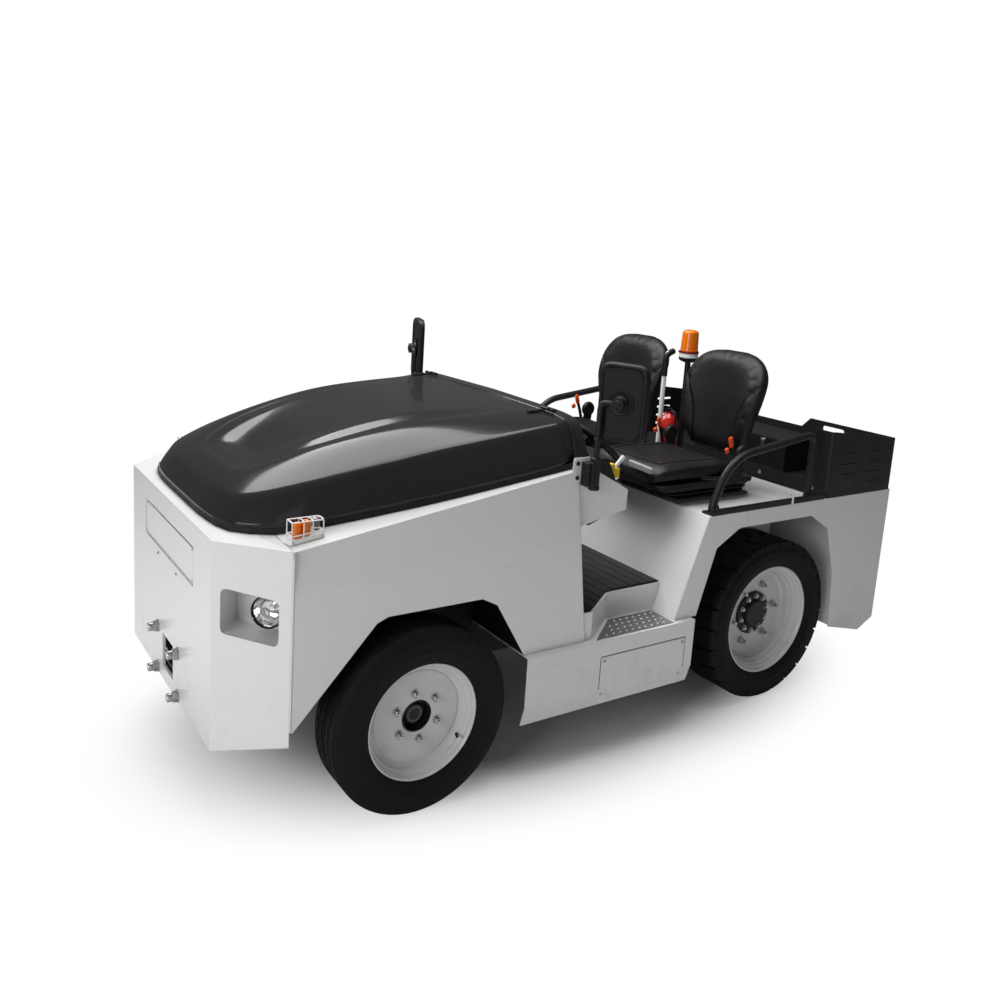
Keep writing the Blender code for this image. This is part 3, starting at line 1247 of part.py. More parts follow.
def knuckle(side, label, reach):
    """Steering knuckle: an upright barrel on the kingpin line with its spindle."""
    x = KINGPIN_X * side
    z = FRONT_TYRE_RADIUS
    half = KNUCKLE_HEIGHT / 2
    body = cylinder("knuckle_" + label, (x, FRONT_AXLE_Y, z - half), (x, FRONT_AXLE_Y, z + half),
                    KNUCKLE_RADIUS, BLACK)
    fuse(body, cylinder("spindle_" + label, (x, FRONT_AXLE_Y, z), ((reach - GAP) * side, FRONT_AXLE_Y, z),
                        SPINDLE_RADIUS, None))
    hang(pivot("kingpin_" + label, (x, FRONT_AXLE_Y, z)), body)


def axles():
    z = FRONT_TYRE_RADIUS
    half = KNUCKLE_HEIGHT / 2 + GAP
    end = KINGPIN_X + KNUCKLE_RADIUS
    depth = KNUCKLE_RADIUS
    beam_end = KINGPIN_X - KNUCKLE_RADIUS - FORK_PLATE
    low = z - half - FORK_PLATE
    section = [(-end, low), (end, low), (end, z - half), (beam_end, z - half), (beam_end, z + half),
               (end, z + half), (end, z + half + FORK_PLATE), (beam_end - depth, z + half + FORK_PLATE),
               (beam_end - depth * 2, FRAME_LOW_Z - GAP), (-beam_end + depth * 2, FRAME_LOW_Z - GAP),
               (-beam_end + depth, z + half + FORK_PLATE), (-end, z + half + FORK_PLATE),
               (-end, z + half), (-beam_end, z + half), (-beam_end, z - half), (-end, z - half)]
    prism("front_axle", section, "y", FRONT_AXLE_Y - depth, FRONT_AXLE_Y + depth, BLACK)
    rim_half = REAR_TYRE_WIDTH * BEAD_SHARE / 2
    back = REAR_WHEEL_X - REAR_TYRE_WIDTH / 2 + rim_back(rim_half, REAR_DISH)
    reach = back - GAP
    axle = cylinder("rear_axle", (-reach, REAR_AXLE_Y, REAR_TYRE_RADIUS),
                    (reach, REAR_AXLE_Y, REAR_TYRE_RADIUS), AXLE_RADIUS, BLACK)
    profile = [(-DIFF_RADIUS, AXLE_RADIUS / 2), (-DIFF_RADIUS, AXLE_RADIUS + DISC_PLATE),
               (-DIFF_RADIUS * DIFF_FLAT_SHARE, DIFF_RADIUS - DISC_PLATE), (DIFF_RADIUS * DIFF_FLAT_SHARE, DIFF_RADIUS - DISC_PLATE),
               (DIFF_RADIUS, AXLE_RADIUS + DISC_PLATE), (DIFF_RADIUS, AXLE_RADIUS / 2)]
    fuse(axle, turned("diff_guide", profile, (0.0, REAR_AXLE_Y, REAR_TYRE_RADIUS), None, 24))


def rear_wheel(side, label):
    middle = REAR_WHEEL_X - REAR_TYRE_WIDTH / 2
    centre = (middle * side, REAR_AXLE_Y, REAR_TYRE_RADIUS)
    rim_seat = REAR_RIM_RADIUS - RIM_LIP
    profile = tyre_profile(rim_seat, REAR_RIM_RADIUS, REAR_TYRE_RADIUS, REAR_TYRE_WIDTH,
                           REAR_TREAD_WIDTH, lugs=True)
    tyre = turned("rear_tyre_" + label, profile, centre, RUBBER, REAR_SEGMENTS,
                  ripple=lugged(len(profile)))
    rim = rim_body("rear_rim_" + label, centre, side, rim_seat - GAP, REAR_RIM_RADIUS,
                   REAR_TYRE_WIDTH * BEAD_SHARE / 2, REAR_DISH, REAR_HUB_RADIUS,
                   REAR_HUB_REACH, REAR_SEGMENTS)
    hang(pivot("rear_wheel_axis_" + label, centre), tyre, rim)


def build():
    clear_scene()
    chassis()
    nose()
    for side in (-1, 1):
        side_panel(side)
    base, shoulder, crown = hood()
    hood_seal(base)
    cowl(base, shoulder, crown)
    dashboard(base, shoulder)
    floor()
    rear_body()
    seats()
    carried()
    axles()
    wheels()


build()
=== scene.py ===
"""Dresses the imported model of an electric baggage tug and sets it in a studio."""
import json
import math

import bmesh
import bpy
from bpy.props import FloatProperty, FloatVectorProperty, IntProperty, PointerProperty
from mathutils import Matrix, Vector
from mathutils.kdtree import KDTree

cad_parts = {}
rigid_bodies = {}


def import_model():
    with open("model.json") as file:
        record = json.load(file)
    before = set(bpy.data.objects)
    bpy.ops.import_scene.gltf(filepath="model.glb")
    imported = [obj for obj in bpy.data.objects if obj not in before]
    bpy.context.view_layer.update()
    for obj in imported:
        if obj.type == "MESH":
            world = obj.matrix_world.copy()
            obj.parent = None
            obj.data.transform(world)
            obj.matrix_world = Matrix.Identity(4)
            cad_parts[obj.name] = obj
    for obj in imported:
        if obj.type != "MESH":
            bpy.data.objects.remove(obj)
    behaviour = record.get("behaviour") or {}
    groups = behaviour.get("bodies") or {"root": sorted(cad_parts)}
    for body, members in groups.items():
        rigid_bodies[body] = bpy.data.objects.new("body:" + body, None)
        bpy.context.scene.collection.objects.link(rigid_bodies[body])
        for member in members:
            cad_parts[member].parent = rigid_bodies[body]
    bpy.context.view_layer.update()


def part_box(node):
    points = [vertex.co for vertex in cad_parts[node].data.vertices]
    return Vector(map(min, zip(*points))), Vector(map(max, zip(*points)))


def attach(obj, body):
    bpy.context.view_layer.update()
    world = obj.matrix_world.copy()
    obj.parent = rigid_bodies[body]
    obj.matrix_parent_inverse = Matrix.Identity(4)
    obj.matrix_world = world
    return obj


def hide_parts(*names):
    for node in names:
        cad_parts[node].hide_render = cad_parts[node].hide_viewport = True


bl_info = {
    "name": "Baggage Tug Dressing",
    "version": (1, 0, 0),
    "blender": (4, 5, 0),
    "location": "3D View > Sidebar > Tug",
    "description": "Adds paint, rubber, seats, lamps and fittings to the packed baggage tug",
    "category": "Object",
}

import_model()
SIDES = (("left", 1), ("right", -1))
UP, FORWARD, BACKWARD = (0, 0, 1), (0, -1, 0), (0, 1, 0)


# Settings

def length(name, description, default):
    return FloatProperty(name=name, description=description, default=default, min=0.0,
                         unit="LENGTH", precision=4)


def place(name, description, default):
    return FloatVectorProperty(name=name, description=description, default=default,
                               subtype="TRANSLATION", precision=4)


def colour(name, description, default):
    return FloatVectorProperty(name=name, description=description, default=default,
                               subtype="COLOR", min=0.0, max=1.0)


def angle(name, description, degrees):
    return FloatProperty(name=name, description=description, default=math.radians(degrees),
                         subtype="ANGLE")


class TugStage(bpy.types.PropertyGroup):
    """Camera, floor and lamps."""
    camera: place("Camera", "Where the photographer stood", (3.2765, -2.4808, 1.9988))
    yaw: angle("Yaw", "Turn of the view from straight ahead", 57.143)
    pitch: angle("Pitch", "How far the camera looks down", 10.4346)
    roll: angle("Roll", "Tilt of the horizon", 3.3882)
    lens: FloatProperty(name="Lens", description="Focal length on a 36 mm sensor",
                        default=33.86, subtype="DISTANCE_CAMERA")
    shift: FloatVectorProperty(name="Shift", description="Frame shift of the picture", size=2,
                               default=(0.0325, -0.0932))
    floor: colour("Floor", "Studio floor", (0.86, 0.86, 0.86))
    key: FloatProperty(name="Key lamp", description="Power of the large overhead lamp",
                       default=245.0, subtype="POWER")
    fill: FloatProperty(name="Fill lamp", description="Power of the side lamps",
                        default=60.0, subtype="POWER")


class TugColours(bpy.types.PropertyGroup):
    """Colours of the finishes."""
    body: colour("Body paint", "Off-white enamel of the body sheets", (0.74, 0.74, 0.73))
    rim: colour("Rim paint", "Silver-white enamel of the wheel rims", (0.62, 0.62, 0.61))
    hood: colour("Hood gloss", "Dark grey gloss of hood and cowl", (0.020, 0.0205, 0.022))
    plastic: colour("Black plastic", "Moulded black plastic", (0.007, 0.007, 0.0075))
    black_metal: colour("Black paint", "Textured black paint on steel", (0.011, 0.011, 0.012))
    rubber: colour("Rubber", "Tyre and seal rubber", (0.0050, 0.0050, 0.0050))
    vinyl: colour("Vinyl", "Seat covers", (0.0050, 0.0050, 0.0055))
    steel: colour("Steel", "Bare zinc-plated steel", (0.52, 0.52, 0.51))
    amber: colour("Amber lens", "Beacon and direction lamps", (0.92, 0.20, 0.002))
    red: colour("Red", "Extinguisher and buckles", (0.62, 0.012, 0.010))
    yellow: colour("Yellow", "Release lever grips", (0.85, 0.55, 0.02))


# Shader maths

class Value:
    """A number socket that turns Python arithmetic into Math nodes."""

    def __init__(self, shader, socket):
        self.shader = shader
        self.socket = socket

    def _math(self, operation, *inputs):
        return self.shader.add("ShaderNodeMath", {"operation": operation}, dict(enumerate(inputs)))

    def __add__(self, other):
        return self._math("ADD", self, other)

    def __radd__(self, other):
        return self._math("ADD", other, self)

    def __sub__(self, other):
        return self._math("SUBTRACT", self, other)

    def __rsub__(self, other):
        return self._math("SUBTRACT", other, self)

    def __mul__(self, other):
        return self._math("MULTIPLY", self, other)

    def __rmul__(self, other):
        return self._math("MULTIPLY", other, self)

    def __truediv__(self, other):
        return self._math("DIVIDE", self, other)

    def __pow__(self, other):
        return self._math("POWER", self, other)

    def __lt__(self, other):
        return self._math("LESS_THAN", self, other)

    def __gt__(self, other):
        return self._math("GREATER_THAN", self, other)

    def wave(self):
        return self._math("SINE", self)

    def size(self):
        return self._math("ABSOLUTE", self)

    def clamped(self):
        return self.shader.add("ShaderNodeClamp", {}, {"Value": self})

    def step(self, low, high):
        """Rises smoothly from 0 at low to 1 at high."""
        return self.shader.add("ShaderNodeMapRange", {"interpolation_type": "SMOOTHSTEP"},
                               {"Value": self, "From Min": low, "From Max": high})


class Shader:
    """One material and the nodes behind its Principled shader."""

    def __init__(self, name):
        self.material = bpy.data.materials.new(name)
        self.material.use_nodes = True
        self.tree = self.material.node_tree
        self.principled = self.tree.nodes["Principled BSDF"]

    def add(self, kind, settings=None, inputs=None, output=0):
        """Adds a node, sets its settings first, then fills or links its sockets."""
        node = self.tree.nodes.new(kind)
        for key, value in (settings or {}).items():
            if key == "stops":
                self._ramp(node, value)
            else:
                setattr(node, key, value)
        for key, value in (inputs or {}).items():
            self.join(value, node.inputs[key])
        return Value(self, node.outputs[output])

    def _ramp(self, node, stops):
        elements = node.color_ramp.elements
        while len(elements) < len(stops):
            elements.new(0.5)
        for element, (at, tone) in zip(elements, stops):
            element.position = at
            element.color = (*tone, 1.0) if isinstance(tone, tuple) else (tone, tone, tone, 1.0)

    def join(self, value, socket):
        if isinstance(value, Value):
            self.tree.links.new(value.socket, socket)
        elif socket.type == "RGBA" and len(value) == 3:
            socket.default_value = (*value, 1.0)
        else:
            socket.default_value = value

    def set(self, **sockets):
        for key, value in sockets.items():
            name = key.replace("_", " ").title().replace("Ior", "IOR")
            self.join(value, self.principled.inputs[name])
        return self

    def position(self):
        return self.add("ShaderNodeTexCoord", output=3)

    def axes(self):
        """X, Y and Z of the surface point."""
        node = self.tree.nodes.new("ShaderNodeSeparateXYZ")
        self.join(self.position(), node.inputs[0])
        return [Value(self, socket) for socket in node.outputs]

    def noise(self, scale, detail=3.0, roughness=0.5, vector=None):
        return self.add("ShaderNodeTexNoise", {}, {
            "Vector": vector or self.position(), "Scale": scale, "Detail": detail,
            "Roughness": roughness})

    def stretched(self, x, y, z):
        return self.add("ShaderNodeVectorMath", {"operation": "MULTIPLY"},
                        {0: self.position(), 1: (x, y, z)})

    def cells(self, scale, feature="F1", vector=None):
        return self.add("ShaderNodeTexVoronoi", {"feature": feature},
                        {"Vector": vector or self.position(), "Scale": scale})

    def mix(self, factor, a, b):
        return self.add("ShaderNodeMix", {"data_type": "RGBA"}, {0: factor, 6: a, 7: b}, output=2)

    def bump(self, height, strength, distance, normal=None):
        inputs = {"Height": height, "Strength": strength, "Distance": distance}
        if normal:
            inputs["Normal"] = normal
        return self.add("ShaderNodeBump", {}, inputs)

    def bevelled(self, radius):
        """Normal that turns softly over folded and cut edges."""
        return self.add("ShaderNodeBevel", {"samples": 6}, {"Radius": radius})

    def edges(self, radius):
        """1 along worn edges: the bevelled normal departs from the plain one."""
        plain = self.add("ShaderNodeNewGeometry", output=1)
        dot = self.add("ShaderNodeVectorMath", {"operation": "DOT_PRODUCT"},
                       {0: self.bevelled(radius), 1: plain}, output=1)
        return (1.0 - dot).step(0.01, 0.12)


# Forms

AXES = {"x": Vector((1.0, 0.0, 0.0)), "y": Vector((0.0, 1.0, 0.0)), "z": Vector((0.0, 0.0, 1.0))}


def upright(axis):
    """Two unit vectors square to an axis."""
    helper = AXES["z"] if abs(axis.z) < 0.9 else AXES["x"]
    side = axis.cross(helper).normalized()
    return side, axis.cross(side).normalized()


def circle(radius, count, turn=0.0):
    """Points evenly spaced round the origin."""
    steps = (turn + 2 * math.pi * k / count for k in range(count))
    return [(radius * math.cos(a), radius * math.sin(a)) for a in steps]


def rounded(corners, radius, steps=5):
    """Rounds each corner of a closed outline of (u, v) points."""
    out = []
    count = len(corners)
    for i, corner in enumerate(corners):
        here = Vector(corner)
        before = (Vector(corners[i - 1]) - here)
        after = (Vector(corners[(i + 1) % count]) - here)
        reach = min(radius, before.length * 0.49, after.length * 0.49)
        a = here + before.normalized() * reach
        b = here + after.normalized() * reach
        for k in range(steps + 1):
            t = k / steps
            out.append(tuple(a * (1 - t) ** 2 + here * 2 * t * (1 - t) + b * t ** 2))
    return out


def oblong(left, low, right, high, radius, steps=5):
    """Rectangle with rounded corners."""
    return rounded([(left, low), (right, low), (right, high), (left, high)], radius, steps)


def squircle(power, count=48):
    """Rounded square of half width 1."""
    return [(math.copysign(abs(u) ** power, u), math.copysign(abs(v) ** power, v))
            for u, v in circle(1.0, count)]


def smooth_path(points, bend, steps=6):
    """Rounds the corners of an open line of points."""
    line = [Vector(p) for p in points]
    out = [line[0]]
    for before, here, after in zip(line, line[1:], line[2:]):
        reach = min(bend, (before - here).length * 0.49, (after - here).length * 0.49)
        a = here + (before - here).normalized() * reach
        b = here + (after - here).normalized() * reach
        for k in range(steps + 1):
            t = k / steps
            out.append(a * (1 - t) ** 2 + here * 2 * t * (1 - t) + b * t ** 2)
    return out + [line[-1]]


class Form:
    """Collects closed shapes in one mesh and turns them into a piece."""

    def __init__(self):
        self.bm = bmesh.new()

    def loft(self, rings, loop=False):
        """Skins rings of equally many points; open ends are closed by a face."""
        layers = [[self.bm.verts.new(p) for p in ring] for ring in rings]
        pairs = list(zip(layers, layers[1:]))
        if loop:
            pairs.append((layers[-1], layers[0]))
        for a, b in pairs:
            for i in range(len(a)):
                j = (i + 1) % len(a)
                self.bm.faces.new((a[i], a[j], b[j], b[i]))
        if not loop:
            self.bm.faces.new(layers[0][::-1])
            self.bm.faces.new(layers[-1])

    def prism(self, outline, axis, low, high):
        """Extrudes an outline along x, y or z; the outline is in the other two axes."""
        def put(u, v, w):
            return {"x": (w, u, v), "y": (u, w, v), "z": (u, v, w)}[axis]
        self.loft([[put(u, v, w) for u, v in outline] for w in (low, high)])

    def box(self, low, high):
        corners = [(low[0], low[1]), (high[0], low[1]), (high[0], high[1]), (low[0], high[1])]
        self.prism(corners, "z", low[2], high[2])

    def lathe(self, profile, centre, axis, segments=32):
        """Turns (along, radius) points round an axis; ends on the axis are closed."""
        axis = Vector(axis).normalized()
        side, other = upright(axis)
        centre = Vector(centre)
        rings = [[centre + axis * along + side * u + other * v
                  for u, v in circle(max(radius, 0.0002), segments)] for along, radius in profile]
        self.loft(rings)

    def ring(self, profile, centre, axis, turns=48, ripple=None):
        """Turns a closed (along, radius) loop into a ring; a ripple shifts its points."""
        axis = Vector(axis).normalized()
        side, other = upright(axis)
        centre = Vector(centre)
        if isinstance(turns, int):
            turns = [2 * math.pi * k / turns for k in range(turns)]
        rings = []
        for k, turn in enumerate(turns):
            loop = []
            for i, (along, radius) in enumerate(profile):
                out, grow, twist = ripple(k, i) if ripple else (0.0, 0.0, 0.0)
                radial = side * math.cos(turn + twist) + other * math.sin(turn + twist)
                loop.append(centre + axis * (along + out) + radial * (radius + grow))
            rings.append(loop)
        self.loft(rings, loop=True)

    def tube(self, points, radius, bend=0.0, sides=12, closed=False):
        """Follows a line with a round section."""
        line = smooth_path(points, bend) if bend else [Vector(p) for p in points]
        rings = []
        side = None
        count = len(line)
        for i, point in enumerate(line):
            ahead = line[(i + 1) % count if closed else min(i + 1, count - 1)]
            behind = line[i - 1 if closed or i else 0]
            along = (ahead - behind).normalized()
            if side is None:
                side = upright(along)[0]
            else:
                side = (side - along * side.dot(along)).normalized()
            other = along.cross(side)
            thick = radius
            if isinstance(radius, tuple):
                thick = radius[i * (len(radius) - 1) // (count - 1)]
            rings.append([point + side * u + other * v for u, v in circle(thick, sides)])
        self.loft(rings, loop=closed)

    def bolts(self, places, direction, radius, height, washer=1.35):
        """Hexagon heads on washers."""
        direction = Vector(direction).normalized()
        side, other = upright(direction)
        for spot in places:
            spot = Vector(spot)
            self.lathe([(0.0, radius * washer), (height * 0.22, radius * washer)],
                       spot, direction, 20)
            rings = []
            for along, reach in ((height * 0.2, radius), (height * 0.9, radius),
                                 (height, radius * 0.86)):
                rings.append([spot + direction * along + side * u + other * v
                              for u, v in circle(reach, 6)])
            self.loft(rings)

    def screws(self, places, direction, radius, height):
        """Low domed screw heads with a socket."""
        for spot in places:
            self.lathe([(0.0, radius), (height * 0.45, radius), (height * 0.85, radius * 0.78),
                        (height, radius * 0.45), (height * 0.35, radius * 0.36),
                        (height * 0.3, 0.0)], spot, direction, 16)

    def done(self, name, finish, body="base", bevel=0.0, segments=2, smooth=40.0):
        """Makes the piece, in a finish, riding on a body of the frame."""
        bmesh.ops.recalc_face_normals(self.bm, faces=self.bm.faces)
        mesh = bpy.data.meshes.new(name)
        self.bm.to_mesh(mesh)
        self.bm.free()
        obj = bpy.data.objects.new(name, mesh)
        bpy.context.scene.collection.objects.link(obj)
        mesh.materials.append(FINISH[finish])
        if bevel:
            soften(obj, bevel, segments)
        shade(obj, smooth)
        if body:
            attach(obj, body)
        return obj


def soften(obj, width, segments):
    """Rounds the sharp edges."""
    step = obj.modifiers.new("edge", "BEVEL")
    step.width = width
    step.segments = segments
    step.limit_method = "ANGLE"
    step.angle_limit = math.radians(32.0)
    step.harden_normals = False


def shade(obj, degrees):
    mesh = obj.data
    mesh.shade_smooth()
    if degrees < 180.0:
        mesh.set_sharp_from_angle(angle=math.radians(degrees))


def around(centre, axis, radius, count, turn=0.0):
    """Places evenly spaced on a circle."""
    side, other = upright(Vector(axis).normalized())
    return [Vector(centre) + side * u + other * v for u, v in circle(radius, count, turn)]


# Finishes

FINISH = {}


def tinted(base, factor):
    """A colour made lighter or darker."""
    return tuple(min(1.0, c * factor) for c in base)


def enamel(name, base, roughness, coat=0.35, peel=0.04):
    """Sprayed paint: faint clouding, orange peel and thin dust low down."""
    s = Shader(name)
    z = s.axes()[2]
    cloud = s.noise(2.4, 5.0, 0.6)
    grime = s.noise(9.0, 6.0, 0.7).step(0.45, 0.8) * (1.0 - z.step(0.15, 0.7)) * 0.35
    tone = s.mix(cloud, tinted(base, 0.95), tinted(base, 1.03))
    tone = s.mix(grime, tone, tinted((0.46, 0.45, 0.42), max(base)))
    peeled = s.bump(s.noise(420.0, 2.0), peel, 0.0004, s.bevelled(0.005))
    return s.set(base_color=tone, roughness=cloud * 0.06 + grime * 0.4 + (roughness - 0.03),
                 coat_weight=coat, coat_roughness=0.08, normal=peeled).material


def hood_gloss(base):
    """Dark polished shell with a deep clear coat."""
    s = Shader("hood_gloss")
    cloud = s.noise(1.6, 4.0, 0.6)
    dust = s.noise(38.0, 5.0, 0.75).step(0.5, 0.9) * 0.12
    tone = s.mix(cloud, tinted(base, 0.9), tinted(base, 1.15))
    wavy = s.bump(s.noise(5.0, 2.0), 0.10, 0.004)
    fine = s.bump(s.noise(600.0, 2.0), 0.02, 0.0003, wavy)
    return s.set(base_color=tone, roughness=dust + 0.17, coat_weight=0.15, coat_roughness=0.05,
                 specular_ior_level=0.15, normal=fine).material


def moulded(name, base, roughness=0.5, grain=620.0, depth=0.25, wear=0.0):
    """Grained plastic or powder-coated steel."""
    s = Shader(name)
    cloud = s.noise(7.0, 4.0, 0.6)
    pebbles = s.cells(grain, "SMOOTH_F1")
    tone = s.mix(cloud, tinted(base, 0.8), tinted(base, 1.35))
    if wear:
        rubbed = s.edges(0.003) * s.noise(30.0, 4.0, 0.7).step(0.35, 0.7) * wear
        tone = s.mix(rubbed, tone, tinted((9.0, 9.0, 9.2), max(base)))
    relief = s.bump(pebbles * 0.7 + s.noise(grain * 0.4, 2.0) * 0.3, depth, 0.0004)
    return s.set(base_color=tone, roughness=cloud * 0.14 + (roughness - 0.07),
                 specular_ior_level=0.28, normal=relief).material


def tyre_rubber(base):
    """Matt rubber, a little browner and rougher where dust holds."""
    s = Shader("tyre_rubber")
    dust = s.noise(26.0, 8.0, 0.75).step(0.46, 0.75)
    tone = s.mix(dust, base, tinted((2.1, 2.0, 1.85), base[0]))
    relief = s.bump(s.noise(340.0, 4.0, 0.7), 0.3, 0.0006)
    return s.set(base_color=tone, roughness=dust * 0.14 + 0.62, specular_ior_level=0.16,
                 normal=relief).material


def vinyl(base):
    """Leather-grained seat cover."""
    s = Shader("seat_vinyl")
    warped = s.add("ShaderNodeVectorMath", {"operation": "ADD"}, {
        0: s.position(), 1: s.add("ShaderNodeTexNoise", {}, {
            "Vector": s.position(), "Scale": 90.0, "Detail": 2.0}, output=1)})
    leather = s.cells(240.0, "DISTANCE_TO_EDGE", warped).step(0.0, 0.12)
    cloud = s.noise(9.0, 5.0, 0.65)
    tone = s.mix(cloud, tinted(base, 0.75), tinted(base, 1.6))
    relief = s.bump(leather + s.noise(30.0, 3.0) * 0.4, 0.35, 0.0005)
    return s.set(base_color=tone, roughness=cloud * 0.16 + 0.34, specular_ior_level=0.35,
                 normal=relief).material


def plated(name, base, roughness=0.32):
    """Zinc-plated or polished steel with faint streaks."""
    s = Shader(name)
    streaks = s.noise(1.0, 4.0, 0.6, s.stretched(30.0, 260.0, 30.0))
    tone = s.mix(streaks, tinted(base, 0.82), tinted(base, 1.08))
    return s.set(base_color=tone, metallic=1.0, roughness=streaks * 0.16 + (roughness - 0.08),
                 normal=s.bump(streaks, 0.06, 0.0003)).material


def lens(name, base, transmission, ribs=0.0):
    """Coloured or clear lamp plastic; fine ribs stand round it."""
    s = Shader(name)
    tone = s.mix(s.noise(22.0, 3.0), tinted(base, 0.92), tinted(base, 1.05))
    flutes = (s.axes()[2] * ribs).wave() if ribs else s.noise(60.0, 2.0)
    return s.set(base_color=tone, roughness=s.noise(14.0) * 0.06 + 0.05, ior=1.49,
                 transmission_weight=transmission, normal=s.bump(flutes, 0.12, 0.0005)).material


def silvered(name, tint, roughness):
    """Mirror coat with faint smears."""
    s = Shader(name)
    smear = s.noise(8.0, 4.0, 0.6).step(0.4, 0.8)
    return s.set(base_color=s.mix(smear, tint, tinted(tint, 0.94)), metallic=1.0,
                 roughness=smear * 0.04 + roughness).material


def studio_floor(base):
    """Pale floor; what the camera sees of it far from the tug is plain white."""
    s = Shader("studio_floor")
    tone = s.mix(s.noise(2.0, 2.0) * 0.1, base, tinted(base, 1.02))
    s.set(base_color=tone, roughness=0.75)
    rays = s.tree.nodes.new("ShaderNodeLightPath")
    seen = Value(s, rays.outputs["Is Camera Ray"])
    x, y = s.axes()[:2]
    away = ((x * x + y * y * 0.32) ** 0.5).step(0.62, 1.12)
    white = s.add("ShaderNodeEmission", {}, {"Color": (1.0, 1.0, 1.0), "Strength": 1.0})
    blend = s.add("ShaderNodeMixShader", {}, {
        0: seen.clamped() * away, 1: Value(s, s.principled.outputs[0]), 2: white})
    s.join(blend, s.tree.nodes["Material Output"].inputs["Surface"])
    return s.material


class TUG_OT_finishes(bpy.types.Operator):
    """Make the paint, rubber, vinyl, steel and lens materials"""
    bl_idname = "tug.finishes"
    bl_label = "Finishes"

    def execute(self, context):
        c = context.scene.tug_colours
        FINISH.update(
            body=enamel("body_enamel", c.body, 0.30, 0.4),
            rim=enamel("rim_enamel", c.rim, 0.36, 0.2),
            hood=hood_gloss(c.hood),
            plastic=moulded("black_plastic", c.plastic),
            console=moulded("console_plastic", tinted(c.plastic, 1.5), 0.6, 420.0, 0.35),
            black=moulded("black_powder_coat", c.black_metal, 0.42, 900.0, 0.16, 0.55),
            tyre=tyre_rubber(c.rubber),
            seal=moulded("seal_rubber", c.rubber, 0.55, 1200.0, 0.1),
            vinyl=vinyl(c.vinyl),
            steel=plated("plated_steel", c.steel),
            zinc=plated("zinc_plate", (0.30, 0.30, 0.30), 0.42),
            cast=moulded("cast_iron", (0.09, 0.09, 0.092), 0.55, 300.0, 0.4),
            chrome=silvered("chrome", (0.80, 0.80, 0.80), 0.06),
            mirror=silvered("mirror_glass", (0.86, 0.87, 0.88), 0.01),
            amber=lens("amber_lens", c.amber, 0.2, 900.0),
            red_lens=lens("red_lens", c.red, 0.3, 700.0),
            clear=lens("clear_lens", (0.95, 0.96, 0.97), 0.95),
            red=enamel("red_enamel", c.red, 0.30, 0.6),
            yellow=moulded("yellow_plastic", c.yellow, 0.45),
            grey=moulded("grey_plastic", (0.30, 0.30, 0.31), 0.5),
            dark_red=moulded("dark_red_plastic", (0.16, 0.01, 0.006), 0.35),
            screen=silvered("instrument_glass", (0.03, 0.035, 0.04), 0.06),
            orange=moulded("orange_plastic", (0.78, 0.075, 0.012), 0.4),
            bright=enamel("white_plastic", (0.80, 0.80, 0.79), 0.38, 0.1))
        return {"FINISHED"}


# Studio

def studio_camera(context, settings):
    yaw, pitch, roll = settings.yaw, settings.pitch, settings.roll
    back = Vector((math.sin(yaw) * math.cos(pitch), -math.cos(yaw) * math.cos(pitch),
                   math.sin(pitch)))
    right = Vector((math.cos(yaw), math.sin(yaw), 0.0))
    up = back.cross(right)
    tilted_right = right * math.cos(roll) + up * math.sin(roll)
    tilted_up = up * math.cos(roll) - right * math.sin(roll)
    data = bpy.data.cameras.new("studio_camera")
    data.lens = settings.lens
    data.shift_x, data.shift_y = settings.shift
    data.clip_end = 200.0
    camera = bpy.data.objects.new("studio_camera", data)
    turn = Matrix((tilted_right, tilted_up, back)).transposed().to_4x4()
    camera.matrix_world = Matrix.Translation(settings.camera) @ turn
    context.scene.collection.objects.link(camera)
    context.scene.camera = camera


def studio_world(context):
    world = bpy.data.worlds.new("studio_world")
    context.scene.world = world
    world.use_nodes = True
    nodes, links = world.node_tree.nodes, world.node_tree.links
    soft = nodes["Background"]
    soft.inputs["Color"].default_value = (0.72, 0.72, 0.73, 1.0)
    soft.inputs["Strength"].default_value = 0.16
    white = nodes.new("ShaderNodeBackground")
    rays = nodes.new("ShaderNodeLightPath")
    mixed = nodes.new("ShaderNodeMixShader")
    links.new(rays.outputs["Is Camera Ray"], mixed.inputs[0])
    links.new(soft.outputs[0], mixed.inputs[1])
    links.new(white.outputs[0], mixed.inputs[2])
    white.inputs["Color"].default_value = (1.0, 1.0, 1.0, 1.0)
    links.new(mixed.outputs[0], nodes["World Output"].inputs["Surface"])


def lamp(context, name, where, target, size, power):
    data = bpy.data.lights.new(name, "AREA")
    data.shape = "RECTANGLE"
    data.size, data.size_y = size
    data.energy = power
    obj = bpy.data.objects.new(name, data)
    obj.location = where
    obj.rotation_euler = (Vector(target) - Vector(where)).to_track_quat("-Z", "Y").to_euler()
    context.scene.collection.objects.link(obj)


class TUG_OT_studio(bpy.types.Operator):
    """Set the camera, floor, world and soft lamps"""
    bl_idname = "tug.studio"
    bl_label = "Studio"

    def execute(self, context):
        settings = context.scene.tug_stage
        context.scene.view_settings.view_transform = "Standard"
        studio_camera(context, settings)
        studio_world(context)
        floor = Form()
        floor.box((-40.0, -40.0, -0.02), (40.0, 40.0, 0.0))
        FINISH["floor"] = studio_floor(settings.floor)
        floor.done("studio_floor", "floor", None)
        lamp(context, "overhead", (-0.8, -0.4, 4.2), (0.0, 0.0, 0.8), (2.2, 4.6), settings.key)
        lamp(context, "left_side", (4.2, -3.2, 2.2), (0.6, -1.3, 0.7), (1.6, 2.0),
             settings.fill * 0.13)
        lamp(context, "nose_side", (1.9, -4.9, 2.2), (0.3, -0.9, 0.6), (2.6, 1.6),
             settings.fill * 1.42)
        return {"FINISHED"}


